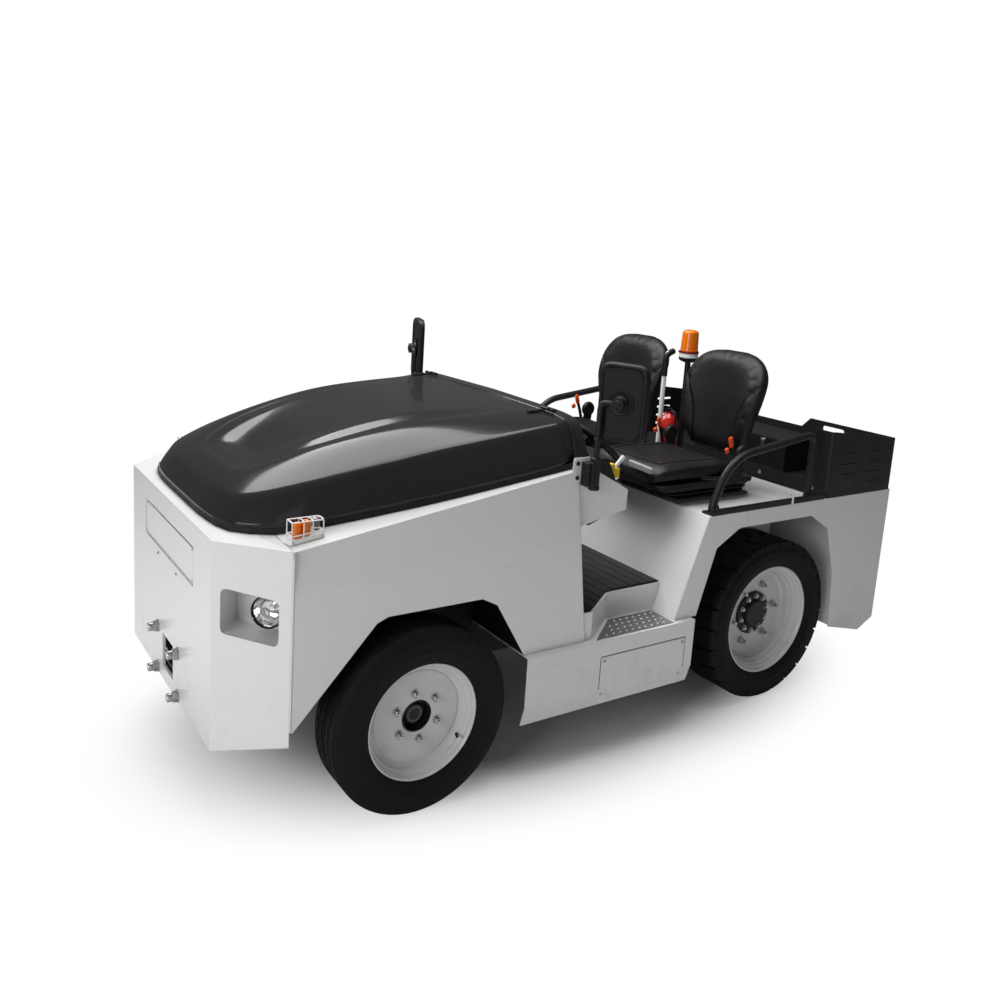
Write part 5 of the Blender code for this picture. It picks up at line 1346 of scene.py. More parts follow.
class TUG_OT_headlamps(bpy.types.Operator):
    """Fit the round headlamps with bowl, bezel and lens in the corner pockets"""
    bl_idname = "tug.headlamps"
    bl_label = "Headlamps"

    def execute(self, context):
        for label, side in SIDES:
            node = "headlamp_" + label
            middle = centre_of(node)
            out = Vector((side, -1.0, 0.0)).normalized()
            radius = (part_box(node)[1].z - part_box(node)[0].z) / 2
            shell = Form()
            shell.ring([(-0.030, radius * 0.62), (-0.030, 0.004), (-0.026, 0.004),
                        (-0.024, radius * 0.50), (-0.006, radius * 0.86), (0.020, radius * 0.90),
                        (0.030, radius * 0.93), (0.031, radius * 0.985), (0.026, radius),
                        (0.004, radius), (-0.012, radius * 0.95)], middle, out, 40)
            piece = shell.done("headlamp_shell_" + label, "plastic")
            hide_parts(node)
            bowl = Form()
            bowl.ring([(-0.0235, 0.008), (-0.0225, radius * 0.48), (-0.012, radius * 0.72),
                       (0.004, radius * 0.84), (0.018, radius * 0.89), (0.018, radius * 0.87),
                       (0.004, radius * 0.82), (-0.011, radius * 0.70), (-0.0215, radius * 0.46),
                       (-0.0225, 0.008)], middle, out, 40)
            bowl.lathe([(-0.023, 0.010), (-0.010, 0.010), (-0.006, 0.007), (-0.005, 0.0)],
                       middle, out, 16)
            bowl.done("headlamp_bowl_" + label, "chrome")
            glass = Form()
            glass.lathe([(0.019, 0.0), (0.019, radius * 0.5), (0.019, radius * 0.885),
                         (0.022, radius * 0.885), (0.0255, radius * 0.6), (0.0268, radius * 0.3),
                         (0.027, 0.0)], middle, out, 40)
            glass.done("headlamp_lens_" + label, "clear")
            bolts = Form()
            bolts.screws(around(middle + out * 0.0305, out, radius * 0.955, 3, 0.5),
                         out, 0.003, 0.0012)
            bolts.done("headlamp_screws_" + label, "steel")
        return {"FINISHED"}


MARKER_RISE, MARKER_SLOPE = 0.010, 0.15    # of the sloping strip under the lamp, towards the rear


class TUG_OT_markers(bpy.types.Operator):
    """Stand the marker lamps with their wire guards on the strips"""
    bl_idname = "tug.markers"
    bl_label = "Marker lamps"

    def execute(self, context):
        for label, side in SIDES:
            node = "marker_lamp_" + label
            low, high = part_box(node)
            x = (low.x + high.x) / 2

            def ground(y):
                """Height of the strip under the lamp."""
                return low.z + MARKER_RISE + (y - low.y) * MARKER_SLOPE

            base = Form()
            outline = oblong(low.x + 0.001, low.y, high.x - 0.001, high.y, 0.010, 4)
            base.loft([[(u, v, ground(v) - 0.008) for u, v in outline],
                       [(u, v, ground(v) + 0.007) for u, v in outline]])
            piece = base.done("marker_base_" + label, "bright", bevel=0.002)
            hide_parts(node)
            lobes = {"amber": (low.y + 0.030, low.y + 0.061), "clear": (low.y + 0.091,)}
            for finish, places in lobes.items():
                form = Form()
                for y in places:
                    z = ground(y) + 0.006
                    flutes = [(0.0, 0.0158)]
                    for k in range(7):
                        flutes += [(0.004 + k * 0.005, 0.0158), (0.0065 + k * 0.005, 0.0148)]
                    flutes += [(0.041, 0.0150), (0.047, 0.0122), (0.051, 0.0070), (0.0525, 0.0)]
                    form.lathe(flutes, (x, y, z), UP, 24)
                form.done("marker_%s_%s" % (finish, label), finish, smooth=60.0)
            guard = Form()
            near, far = low.x + 0.002, high.x - 0.002
            top = high.z - 0.002
            for y in (low.y + 0.006, low.y + 0.0455, low.y + 0.076, high.y - 0.008):
                guard.tube([(near, y, ground(y)), (near, y, top), (far, y, top),
                            (far, y, ground(y))], 0.0022, 0.012, 8)
            for lift in (0.30, 0.97):
                ends = (low.y + 0.006, high.y - 0.008)
                heights = [ground(y) + (top - ground(y)) * lift for y in ends]
                loop = [(near, ends[0], heights[0]), (far, ends[0], heights[0]),
                        (far, ends[1], heights[1]), (near, ends[1], heights[1])]
                guard.tube(loop + loop[:2], 0.0022, 0.008, 8)
            guard.done("marker_guard_" + label, "bright", smooth=60.0)
            fixings = Form()
            fixings.screws([(high.x - 0.003 if side > 0 else low.x + 0.003, y, ground(y) - 0.002)
                            for y in (low.y + 0.012, high.y - 0.012)], (side, 0, 0), 0.0042, 0.003)
            fixings.done("marker_screws_" + label, "steel")
        return {"FINISHED"}


class TUG_OT_nose(bpy.types.Operator):
    """Fit the tow bolts, tow jaw, nameplate and screws on the nose"""
    bl_idname = "tug.nose"
    bl_label = "Nose fittings"

    def execute(self, context):
        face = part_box("nose_panel")[0].y + NOSE_FACE
        steel = Form()
        for side in (-1, 1):
            for z in TOW_BOLT_HEIGHTS:
                spot = (TOW_BOLT_X * side, face, z)
                steel.lathe([(-0.0005, 0.024), (0.0035, 0.024), (0.0035, 0.012)], spot, FORWARD, 28)
                steel.bolts([Vector(spot) + Vector((0, -0.003, 0))], FORWARD, 0.0205, 0.016, 1.0)
                steel.lathe([(0.018, 0.0158), (0.037, 0.0158), (0.0392, 0.0140), (0.0392, 0.0)],
                            spot, FORWARD, 24)
        steel.done("tow_bolts", "steel")
        jaw = Form()
        for z in JAW_HEIGHTS:
            jaw.box((-JAW_HALF, face + 0.014, z), (JAW_HALF, face + 0.060, z + 0.014))
        for left, right in JAW_CHEEKS:
            jaw.box((left, face + 0.013, 0.330), (right, face + 0.075, 0.490))
        jaw.done("tow_jaw_plates", "black", bevel=0.002)
        pin = Form()
        pin.lathe([(0.0, 0.013), (0.003, 0.015), (0.118, 0.015), (0.121, 0.013)],
                  (0.0, face + 0.034, 0.3495), UP, 24)
        ring = [(0.012 * u - 0.030, face + 0.012 - 0.010 * v, 0.4115 + 0.018 * v)
                for u, v in circle(1.0, 20)]
        pin.tube(ring, 0.0028, sides=8, closed=True)
        pin.box((-0.046, face + 0.012, 0.395), (-0.014, face + 0.019, 0.405))
        pin.done("front_tow_pin", "steel", smooth=50.0)
        plate = Form()
        outline = oblong(*NAMEPLATE, 0.006, 4)
        depth = face + 0.0035
        plate.loft([[(u, depth, v) for u, v in outline],
                    [(u, depth - 0.0015, v) for u, v in outline]])
        plate.done("nameplate_blank", "body", bevel=0.0006)
        small = Form()
        small.screws([(-0.13, face - 0.0002, 0.764), (0.11, face - 0.0002, 0.764)],
                     FORWARD, 0.006, 0.003)
        small.screws([(x, depth - 0.0016, z) for x in (-0.297, 0.297) for z in (0.808, 0.913)],
                     FORWARD, 0.0035, 0.0015)
        small.done("nose_screws", "steel")
        return {"FINISHED"}


# Mirrors

MIRROR_TURN = math.radians(20.0)
MIRROR_CENTRE = (0.765, -0.200, 1.425)
MIRROR_HALF_WIDTH, MIRROR_HALF_HEIGHT = 0.098, 0.148
MIRROR_POST = (0.700, -0.240)
MIRROR_BRACKET_X = 0.6815
MIRROR_BRACKET = ((-0.336, 1.113), (-0.252, 1.113), (-0.252, 1.216), (-0.330, 1.216))
MIRROR_SCREWS_Z, MIRROR_BOLTS_Z = (1.140, 1.194), (1.130, 1.175)

# Depth, inset and corner radius from the middle of the back over the rim to the glass.
MIRROR_SHELL = ((0.006, 0.060, 0.020), (0.0055, 0.026, 0.030), (0.005, 0.019, 0.034),
                (0.0015, 0.0165, 0.036), (-0.002, 0.013, 0.038), (-0.002, 0.009, 0.042),
                (0.002, 0.003, 0.046), (0.010, 0.0, 0.049), (0.024, 0.0, 0.049),
                (0.028, 0.002, 0.048), (0.029, 0.006, 0.044), (0.028, 0.009, 0.041),
                (0.0245, 0.0095, 0.040), (0.0235, 0.030, 0.020))
MIRROR_GLASS = ((0.0235, 0.0105, 0.038), (0.0252, 0.0105, 0.038), (0.0260, 0.0115, 0.037))

# Height and profile of each collar on the post.
MIRROR_COLLARS = ((1.276, ((0.0, 0.0125), (0.001, 0.0150), (0.012, 0.0150), (0.013, 0.0125))),
                  (1.200, ((0.0, 0.016), (0.003, 0.0205), (0.012, 0.0205), (0.016, 0.014))),
                  (1.092, ((0.0, 0.018), (0.003, 0.0215), (0.014, 0.0215), (0.016, 0.019))))


def mirror_rings(side, steps, centre):
    """Rings of a mirror's shell or glass; a step gives the depth, inset and corner radius."""
    out = Vector((math.sin(MIRROR_TURN) * side, -math.cos(MIRROR_TURN), 0.0))
    across = Vector((math.cos(MIRROR_TURN) * side, math.sin(MIRROR_TURN), 0.0))
    rings = []
    for depth, inset, corner in steps:
        w, h = MIRROR_HALF_WIDTH - inset, MIRROR_HALF_HEIGHT - inset
        plan = oblong(-w, -h, w, h, corner, 8)
        rings.append([centre - out * depth + across * u + Vector((0, 0, v)) for u, v in plan])
    return rings


class TUG_OT_mirrors(bpy.types.Operator):
    """Build the mirrors with glass, ball joint, arm collars and brackets"""
    bl_idname = "tug.mirrors"
    bl_label = "Mirrors"

    def execute(self, context):
        for label, side in SIDES:
            centre = Vector((MIRROR_CENTRE[0] * side, *MIRROR_CENTRE[1:]))
            out = Vector((math.sin(MIRROR_TURN) * side, -math.cos(MIRROR_TURN), 0.0))
            shell = Form()
            shell.loft(mirror_rings(side, MIRROR_SHELL, centre))
            piece = shell.done("mirror_shell_" + label, "plastic", smooth=50.0)
            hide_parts("mirror_" + label)
            glass = Form()
            glass.loft(mirror_rings(side, MIRROR_GLASS, centre))
            glass.done("mirror_glass_" + label, "mirror", smooth=30.0)
            boss = Form()
            boss.ring([(-0.006, 0.030), (-0.001, 0.046), (0.0015, 0.048), (0.002, 0.045),
                       (-0.001, 0.040), (-0.001, 0.032), (0.004, 0.030), (0.010, 0.027),
                       (0.014, 0.020), (0.015, 0.010)], centre, out, 36)
            boss.lathe([(0.013, 0.017), (0.024, 0.015), (0.031, 0.0175), (0.034, 0.0155),
                        (0.035, 0.006), (0.0335, 0.0)], centre, out, 24)
            boss.done("mirror_boss_" + label, "plastic", smooth=40.0)
            post = Vector((MIRROR_POST[0] * side, MIRROR_POST[1], 0.0))
            collars = Form()
            for z, profile in MIRROR_COLLARS:
                collars.lathe(profile, post + Vector((0, 0, z)), UP, 20)
            for y, wide in ((-0.054, 0.016), (-0.032, 0.014)):
                collars.box((post.x - 0.0185, post.y + y, 1.112),
                            (post.x + 0.0195, post.y + y + wide, 1.200))
            collars.done("mirror_clamp_" + label, "black", bevel=0.0015)
            plate = Form()
            x = MIRROR_BRACKET_X * side
            plate.prism(rounded(MIRROR_BRACKET, 0.008, 3), "x", *sorted((x, x + 0.004 * side)))
            plate.done("mirror_bracket_" + label, "body", bevel=0.001)
            bolts = Form()
            bolts.screws([(x + 0.0038 * side, -0.311, z) for z in MIRROR_SCREWS_Z],
                         (side, 0, 0), 0.0085, 0.005)
            bolts.bolts([(post.x + 0.0190 * side, post.y - 0.046, z) for z in MIRROR_BOLTS_Z],
                        (side, 0, 0), 0.0050, 0.004)
            bolts.done("mirror_bolts_" + label, "black")
        return {"FINISHED"}


# Seat fittings

class TUG_OT_seat_fittings(bpy.types.Operator):
    """Add belts, buckles, recline parts, handles and side trims to the seats"""
    bl_idname = "tug.seat_fittings"
    bl_label = "Seat fittings"

    def execute(self, context):
        for label, side in SIDES:
            low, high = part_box("seat_cushion_" + label)
            x = (low.x + high.x) / 2
            half = (high.x - low.x) / 2
            belt = Form()
            webbing = Form()
            for turn in (-1, 1):
                edge = x + turn * (half - 0.012)
                hinge = Vector((edge, high.y + 0.012, high.z + 0.010))
                belt.lathe([(-0.012, 0.034), (0.0, 0.040), (0.010, 0.036), (0.014, 0.020),
                            (0.015, 0.0)], hinge, (turn, 0, 0), 28)
                plan = [(hinge.y - 0.026, hinge.z - 0.012), (hinge.y + 0.022, hinge.z - 0.012),
                        (hinge.y + 0.010, low.z - 0.020), (hinge.y - 0.050, low.z - 0.020)]
                belt.prism(plan, "x", *sorted((edge, edge - turn * 0.010)))
                stalk = [(edge, high.y - 0.020, low.z + 0.020),
                         (edge + turn * 0.004, high.y - 0.040, high.z),
                         (edge, high.y - 0.060, high.z + 0.045)]
                webbing.tube(stalk, 0.008, 0.02, 8)
            belt.done("recliner_" + label, "plastic", bevel=0.0015)
            webbing.done("belt_stalks_" + label, "seal")
            buckle = Form()
            for turn in (-1, 1):
                edge = x + turn * (half - 0.012)
                for lean, size in ((0.0, 0.044), (0.024, 0.020)):
                    rings = []
                    for k, scale in ((0.0, 0.8), (0.08, 1.0), (0.9, 1.0), (1.0, 0.75)):
                        middle = Vector((edge, high.y - 0.062 - lean - 0.30 * size * k,
                                         high.z + 0.045 - lean + size * k))
                        plan = oblong(-0.006, -0.010, 0.006, 0.010, 0.004, 3)
                        rings.append([middle + Vector((u * scale, v * scale, v * 0.3))
                                      for u, v in plan])
                    buckle.loft(rings)
            buckle.done("belt_buckles_" + label, "orange", smooth=50.0)
            handle = Form()
            inner, outer = x + half * 0.22, x + half * 0.82
            plan = rounded([(inner, low.z + 0.058), (outer, low.z + 0.052),
                            (outer, low.z + 0.078), (inner, low.z + 0.084)], 0.009, 4)
            handle.prism(plan, "y", low.y - 0.012, low.y + 0.006)
            handle.done("seat_handle_" + label, "grey", bevel=0.004, segments=3)
            trim = Form()
            for turn in (-1, 1):
                edge = x + turn * (half - 0.006)
                plan = rounded([(high.y - 0.190, low.z + 0.004), (high.y - 0.020, low.z - 0.024),
                                (high.y + 0.006, low.z + 0.020), (high.y - 0.030, low.z + 0.050)],
                               0.014, 4)
                trim.prism(plan, "x", *sorted((edge, edge + turn * 0.010)))
            trim.done("seat_side_trim_" + label, "plastic", bevel=0.003)
            lever = Form()
            spot = Vector((x + side * (half + 0.002), low.y + 0.330, low.z + 0.020))
            lever.tube([spot, spot + Vector((side * 0.016, 0.0, 0.0)),
                        spot + Vector((side * 0.020, -0.10, 0.012))],
                       (0.006, 0.006, 0.009), 0.014, 10)
            lever.done("recline_lever_" + label, "plastic")
        return {"FINISHED"}


# Driver's place

WHEEL_TILT = 40.0    # degrees from upright


class TUG_OT_steering(bpy.types.Operator):
    """Build the steering wheel, its boss and the column cover"""
    bl_idname = "tug.steering"
    bl_label = "Steering wheel"

    def execute(self, context):
        tilt = math.radians(WHEEL_TILT)
        axis = Vector((0.0, math.sin(tilt), math.cos(tilt)))
        side, other = upright(axis)
        radius, grip_radius = 0.180, 0.014
        low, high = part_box("steering_wheel")
        centre = Vector(((low.x + high.x) / 2, 0.0, 0.0))
        reach = radius + grip_radius
        centre.y = low.y + reach * math.cos(tilt) - 0.002
        centre.z = high.z - reach * math.sin(tilt) - 0.006
        wheel = Form()

        def grip(k, i):
            return (0.0, 0.0010 * (k % 2), 0.0)
        loop = [(v, radius + u) for u, v in circle(grip_radius, 12)]
        wheel.ring(loop, centre, axis, 96, grip)
        for spoke in (90.0, 210.0, 330.0):
            turn = math.radians(spoke)
            way = side * math.cos(turn) + other * math.sin(turn)
            cross = axis.cross(way)
            rings = []
            for share, wide, thick, drop in ((0.10, 0.034, 0.010, 0.030),
                                             (0.30, 0.024, 0.008, 0.026),
                                             (0.65, 0.019, 0.007, 0.013),
                                             (0.98, 0.026, 0.008, 0.001)):
                spot = centre + way * radius * share - axis * drop
                plan = oblong(-wide, -thick / 2, wide, thick / 2, thick / 2.2, 3)
                rings.append([spot + cross * u + axis * v for u, v in plan])
            wheel.loft(rings)
        wheel.lathe([(-0.052, 0.026), (-0.048, 0.034), (-0.034, 0.046), (-0.020, 0.048),
                     (-0.012, 0.042), (-0.008, 0.030), (-0.007, 0.0)], centre, axis, 36)
        piece = wheel.done("steering_wheel_shell", "plastic", "steering", smooth=50.0)
        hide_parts("steering_wheel")
        cap = Form()
        cap.lathe([(-0.0072, 0.027), (-0.0045, 0.0265), (-0.0035, 0.023), (-0.0035, 0.0)],
                  centre, axis, 32)
        cap.done("horn_button", "grey", "steering")
        column = Form()
        base = centre - axis * 0.215
        column.lathe([(0.0, 0.060), (0.010, 0.062), (0.060, 0.050), (0.110, 0.044), (0.140, 0.042),
                      (0.150, 0.036)], base, axis, 32)
        for turn in (-1, 1):
            spot = base + axis * 0.118 + Vector((turn * 0.040, 0.0, 0.0))
            column.tube([spot, spot + Vector((turn * 0.075, 0.0, 0.010)),
                         spot + Vector((turn * 0.115, 0.004, 0.024))],
                        (0.006, 0.006, 0.009), 0.02, 10)
        column.done("column_cover", "console", smooth=50.0)
        return {"FINISHED"}


# Deck, sides and rear

# The folded strip that closes the top of the corner, and the bead down its seam.
CORNER_FOLD = ((0.470, -1.4755, 1.0108), (0.690, -1.4175, 1.0108), (0.6985, -1.4165, 1.0104),
               (0.6900, -1.4088, 1.0034), (0.6850, -1.4088, 1.0038), (0.5115, -1.4088, 1.0108))
CORNER_BEAD = ((0.6985, -1.4135, 0.408), (0.6985, -1.4135, 0.985), (0.6945, -1.4135, 1.004))
CORNER_SHEET = 0.0016


class TUG_OT_corners(bpy.types.Operator):
    """Close the folded corners between nose and side sheets"""
    bl_idname = "tug.corners"
    bl_label = "Corner folds"

    def execute(self, context):
        for label, side in SIDES:
            form = Form()
            form.loft([[(x * side, y, z - drop) for x, y, z in CORNER_FOLD]
                       for drop in (0.0, CORNER_SHEET)])
            form.tube([(x * side, y, z) for x, y, z in CORNER_BEAD], 0.0034, sides=10)
            form.done("corner_fold_" + label, "body", bevel=0.0005)
        return {"FINISHED"}


class TUG_OT_wheel_houses(bpy.types.Operator):
    """Line the front wheel houses behind the arches"""
    bl_idname = "tug.wheel_houses"
    bl_label = "Wheel houses"

    def execute(self, context):
        inner, outer = 0.352, 0.694
        front, rear = -1.300, -0.508
        rear_low, inner_low, top = 0.490, 0.464, 0.745
        sheet = 0.003
        for label, side in SIDES:
            form = Form()
            right, left = sorted((inner * side, outer * side))
            form.box((right, front, top), (left, rear, top + sheet))
            form.box((right, rear, rear_low), (left, rear + sheet, top))
            right, left = sorted((inner * side, (inner + sheet) * side))
            form.box((right, front, inner_low), (left, rear, top))
            form.done("wheel_house_" + label, "plastic")
        return {"FINISHED"}


class TUG_OT_beacon(bpy.types.Operator):
    """Build the beacon with its base, ring and lens"""
    bl_idname = "tug.beacon"
    bl_label = "Beacon"

    def execute(self, context):
        low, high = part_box("beacon")
        middle = Vector(((low.x + high.x) / 2, (low.y + high.y) / 2, low.z))
        base = Form()
        base.lathe([(-0.012, 0.020), (-0.004, 0.040), (0.004, 0.047), (0.010, 0.0475),
                    (0.012, 0.046)], middle, UP, 36)
        piece = base.done("beacon_foot", "plastic")
        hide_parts("beacon")
        ring = Form()
        ring.lathe([(0.0125, 0.044), (0.013, 0.0465), (0.032, 0.0455), (0.034, 0.043)],
                   middle, UP, 36)
        ring.done("beacon_ring", "bright")
        collar = Form()
        collar.lathe([(0.034, 0.044), (0.035, 0.0478), (0.044, 0.0478), (0.046, 0.043)],
                     middle, UP, 36)
        for spot in around(middle + Vector((0, 0, 0.039)), UP, 0.047, 3, 0.4):
            collar.lathe([(-0.005, 0.004), (0.005, 0.004)], spot, UP, 10)
        collar.done("beacon_collar", "dark_red")
        lens = Form()
        profile = [(0.0462, 0.0430)]
        for k in range(11):
            rise, taper = 0.0075 * k, 0.0003 * k
            profile += [(0.049 + rise, 0.0425 - taper), (0.0525 + rise, 0.0415 - taper)]
        profile += [(0.131, 0.0390), (0.139, 0.0365), (0.145, 0.029), (0.1475, 0.015), (0.148, 0.0)]
        lens.lathe(profile, middle, UP, 48)
        lens.done("beacon_lens", "amber", smooth=60.0)
        pole = Form()
        foot = centre_of("beacon_pole")
        foot.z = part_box("beacon_pole")[0].z
        pole.lathe([(0.0, 0.036), (0.005, 0.036), (0.006, 0.020), (0.016, 0.017)], foot, UP, 28)
        pole.bolts(around(foot + Vector((0, 0, 0.005)), UP, 0.028, 3), UP, 0.004, 0.003)
        pole.done("beacon_pole_foot", "black")
        return {"FINISHED"}


# Low and high corner of the release lever's two blocks, and the line of its rod.
RELEASE_BLOCKS = (((0.588, -0.0895, 1.098), (0.616, -0.040, 1.138)),
                  ((0.588, -0.0895, 1.130), (0.616, -0.066, 1.156)))
RELEASE_ROD = ((0.602, -0.068, 1.125), (0.604, -0.036, 1.160), (0.606, -0.018, 1.180))
BOTTLE_BANDS = (0.060, 0.200)    # height of each band over the extinguisher's foot


class TUG_OT_levers(bpy.types.Operator):
    """Add the parking lever grip, release lever and extinguisher fittings"""
    bl_idname = "tug.levers"
    bl_label = "Levers and extinguisher"

    def execute(self, context):
        low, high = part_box("parking_lever")
        grip = Form()
        x, y = (low.x + high.x) / 2, low.y + 0.011
        grip.tube([(x, y, high.z - 0.130), (x, y, high.z - 0.028), (x, y + 0.046, high.z - 0.010)],
                  (0.0135, 0.0145, 0.0155, 0.015, 0.0140), 0.022, 14)
        grip.lathe([(0.0, 0.022), (0.006, 0.026), (0.022, 0.024), (0.050, 0.016), (0.056, 0.0125)],
                   (x, y, low.z), UP, 20)
        grip.done("parking_grip", "plastic", smooth=50.0)
        bottle = centre_of("extinguisher")
        radius = (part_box("extinguisher")[1].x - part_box("extinguisher")[0].x) / 2
        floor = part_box("extinguisher")[0].z
        shell = Form()
        shell.lathe([(0.0, radius * 0.86), (0.006, radius * 0.97), (0.012, radius), (0.225, radius),
                     (0.250, radius * 0.88), (0.268, radius * 0.55), (0.276, radius * 0.34),
                     (0.283, radius * 0.34)], (bottle.x, bottle.y, floor), UP, 36)
        piece = shell.done("extinguisher_bottle", "red", smooth=50.0)
        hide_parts("extinguisher")
        head = Form()
        top = Vector((bottle.x, bottle.y, floor + 0.283))
        head.lathe([(0.0, 0.015), (0.018, 0.015), (0.020, 0.012)], top, UP, 20)
        head.tube([top + Vector((0.0, 0.010, 0.010)), top + Vector((0.0, -0.030, 0.014)),
                   top + Vector((0.0, -0.056, 0.004))], 0.0045, 0.01, 8)
        head.tube([top + Vector((0.0, 0.010, 0.021)), top + Vector((0.0, -0.030, 0.030)),
                   top + Vector((0.0, -0.060, 0.024))], 0.0045, 0.01, 8)
        hose = [top + Vector((0.012, 0.0, 0.008)), top + Vector((0.046, 0.0, 0.004)),
                top + Vector((0.052, 0.0, -0.070)), top + Vector((0.050, 0.0, -0.160))]
        head.tube(hose, 0.0060, 0.03, 10)
        for z in BOTTLE_BANDS:
            head.ring([(-0.008, radius + 0.0004), (-0.008, radius + 0.003), (0.008, radius + 0.003),
                       (0.008, radius + 0.0004)], (bottle.x, bottle.y, floor + z), UP, 36)
        head.done("extinguisher_head", "plastic", smooth=50.0)
        hinge = Form()
        for corner, opposite in RELEASE_BLOCKS:
            hinge.box(corner, opposite)
        hinge.done("release_lever_block", "yellow", bevel=0.003)
        rod = Form()
        rod.tube(RELEASE_ROD, 0.0085, 0.01, 12)
        rod.done("release_lever", "bright")
        return {"FINISHED"}


MAT_HALF, MAT_NOTCH = 0.687, 0.130         # half width, and what the steps take off it
MAT_NOTCH_FRONT, MAT_NOTCH_RUN = -0.192, 0.186
MAT_FRONT, MAT_LENGTH, MAT_PLANKS, MAT_GAP = -0.281, 0.560, 11, 0.005
STEP_EDGE, STEP_OUTER, STEP_REAR = 0.577, 0.713, 0.240
STEP_SLANT = 1.28                          # run along Y for each unit the tread widens
ACCESS_FRONT, ACCESS_REAR = -0.150, 0.297
ACCESS_LOW, ACCESS_FOLD, ACCESS_TOP = 0.245, 0.2855, 0.418
ACCESS_SCREWS = (-0.136, 0.281)
TRIM_SPANS = ((0.412, 0.905), (0.926, 1.128))
TIE_MARKS = ((-0.62, 0.845), (0.62, 0.880))
DECK_SCREWS = ((0.33, 0.99), (0.60, 1.02))
SIDE_FACE = 0.700
SKIRT_LEAN = -0.0035 / 0.0122              # run inward for each unit down, below the fold


def mat_half(y):
    """Half width of the floor mat, narrower beside the steps."""
    return MAT_HALF - MAT_NOTCH * min(1.0, max(0.0, (y - MAT_NOTCH_FRONT) / MAT_NOTCH_RUN))


class TUG_OT_deck(bpy.types.Operator):
    """Add fender trims, handrail feet, mat ribs, step grips and access panels"""
    bl_idname = "tug.deck"
    bl_label = "Deck and steps"

    def execute(self, context):
        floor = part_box("seat_deck")[1].z
        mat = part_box("floor_mat")[1]
        ribs = Form()
        pitch = MAT_LENGTH / MAT_PLANKS
        for k in range(MAT_PLANKS):
            edges = (MAT_FRONT + pitch * k + MAT_GAP / 2, MAT_FRONT + pitch * (k + 1) - MAT_GAP / 2)
            plan = [(mat_half(y), y) for y in edges]
            plan += [(-half, y) for half, y in plan[::-1]]
            ribs.prism(plan, "z", mat.z - 0.001, mat.z + 0.004)
        ribs.done("mat_ribs", "seal", bevel=0.0012)
        for label, side in SIDES:
            trims = Form()
            for start, end in TRIM_SPANS:
                section = [(0.6930, floor + 0.0003), (0.7002, floor + 0.0003),
                           (0.7002, floor + 0.024), (0.6975, floor + 0.028),
                           (0.6930, floor + 0.028)]
                trims.prism([(x * side, z) for x, z in section], "y", start, end)
            trims.done("fender_trim_" + label, "black", bevel=0.001)
            feet = Form()
            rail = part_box("handrail_" + label)
            x = (rail[0].x + rail[1].x) / 2
            y = rail[0].y + 0.016
            plate = oblong(x - 0.030, y - 0.034, x + 0.030, y + 0.052, 0.014, 4)
            feet.prism(plate, "z", floor + 0.0003, floor + 0.0065)
            web = [(y + 0.010, floor + 0.006), (y + 0.048, floor + 0.006),
                   (y + 0.018, floor + 0.060)]
            feet.prism(web, "x", x - 0.0025, x + 0.0025)
            feet.bolts([(x + dx, y + dy, floor + 0.006) for dx, dy in
                        ((-0.020, -0.022), (0.020, -0.022), (-0.020, 0.042), (0.020, 0.042))],
                       UP, 0.0055, 0.0045)
            feet.done("handrail_foot_" + label, "black", bevel=0.001)
            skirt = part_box("skirt_" + label)[1 if side > 0 else 0]
            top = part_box("skirt_" + label)[1].z
            tread = Form()
            plan = [(STEP_OUTER, -0.172), (STEP_EDGE, 0.002), (STEP_EDGE, STEP_REAR),
                    (STEP_OUTER, STEP_REAR)]
            tread.prism([(x * side, y) for x, y in plan], "z", top + 0.0003, top + 0.003)
            tread.done("step_tread_" + label, "zinc", bevel=0.0008)
            grips = Form()
            for row in range(4):
                reach = STEP_EDGE + 0.020 + 0.032 * row
                start = 0.024 - (reach - STEP_EDGE) * STEP_SLANT
                for k in range(14):
                    y = 0.222 - 0.034 * k - 0.017 * (row % 2)
                    if y > start:
                        grips.lathe([(0.0, 0.0105), (0.0026, 0.0085), (0.0034, 0.0055),
                                     (0.0026, 0.0040), (0.0022, 0.0)],
                                    (side * reach, y, top + 0.003), UP, 14)
            grips.done("step_grips_" + label, "zinc", smooth=60.0)
            panel = Form()
            foot = skirt.x + side * SKIRT_LEAN * 0.040
            section = [(skirt.x, ACCESS_TOP), (skirt.x, ACCESS_FOLD), (foot, ACCESS_LOW)]
            outer = [(x + side * 0.0026, z) for x, z in section]
            inner = [(x - side * 0.001, z) for x, z in section[::-1]]
            panel.prism(outer + inner, "y", ACCESS_FRONT, ACCESS_REAR)
            panel.done("access_panel_" + label, "body", bevel=0.0012)
            seam = Form()
            front, rear = ACCESS_FRONT - 0.002, ACCESS_REAR + 0.002
            seam.tube([(skirt.x + side * 0.0002, y, z) for y, z in
                       ((front, 0.286), (front, ACCESS_TOP + 0.002), (rear, ACCESS_TOP + 0.002),
                        (rear, 0.286))], 0.0012, 0.004, 8)
            seam.done("access_seam_" + label, "seal")
            screws = Form()
            for inset, z in ((0.0, 0.401), (SKIRT_LEAN * 0.0235, 0.262)):
                screws.screws([(skirt.x + side * (0.0024 + inset), y, z) for y in ACCESS_SCREWS],
                              (side, 0, 0), 0.0070, 0.003)
            screws.screws([(side * x, y, floor) for x, y in DECK_SCREWS], UP, 0.007, 0.004)
            screws.done("panel_screws_" + label, "steel")
            ties = Form()
            for y, z in TIE_MARKS:
                ties.lathe([(-0.001, 0.0135), (0.0012, 0.0135), (0.0012, 0.0)],
                           (SIDE_FACE * side, y, z), (side, 0, 0), 24)
            ties.done("tie_down_marks_" + label, "body")
        return {"FINISHED"}


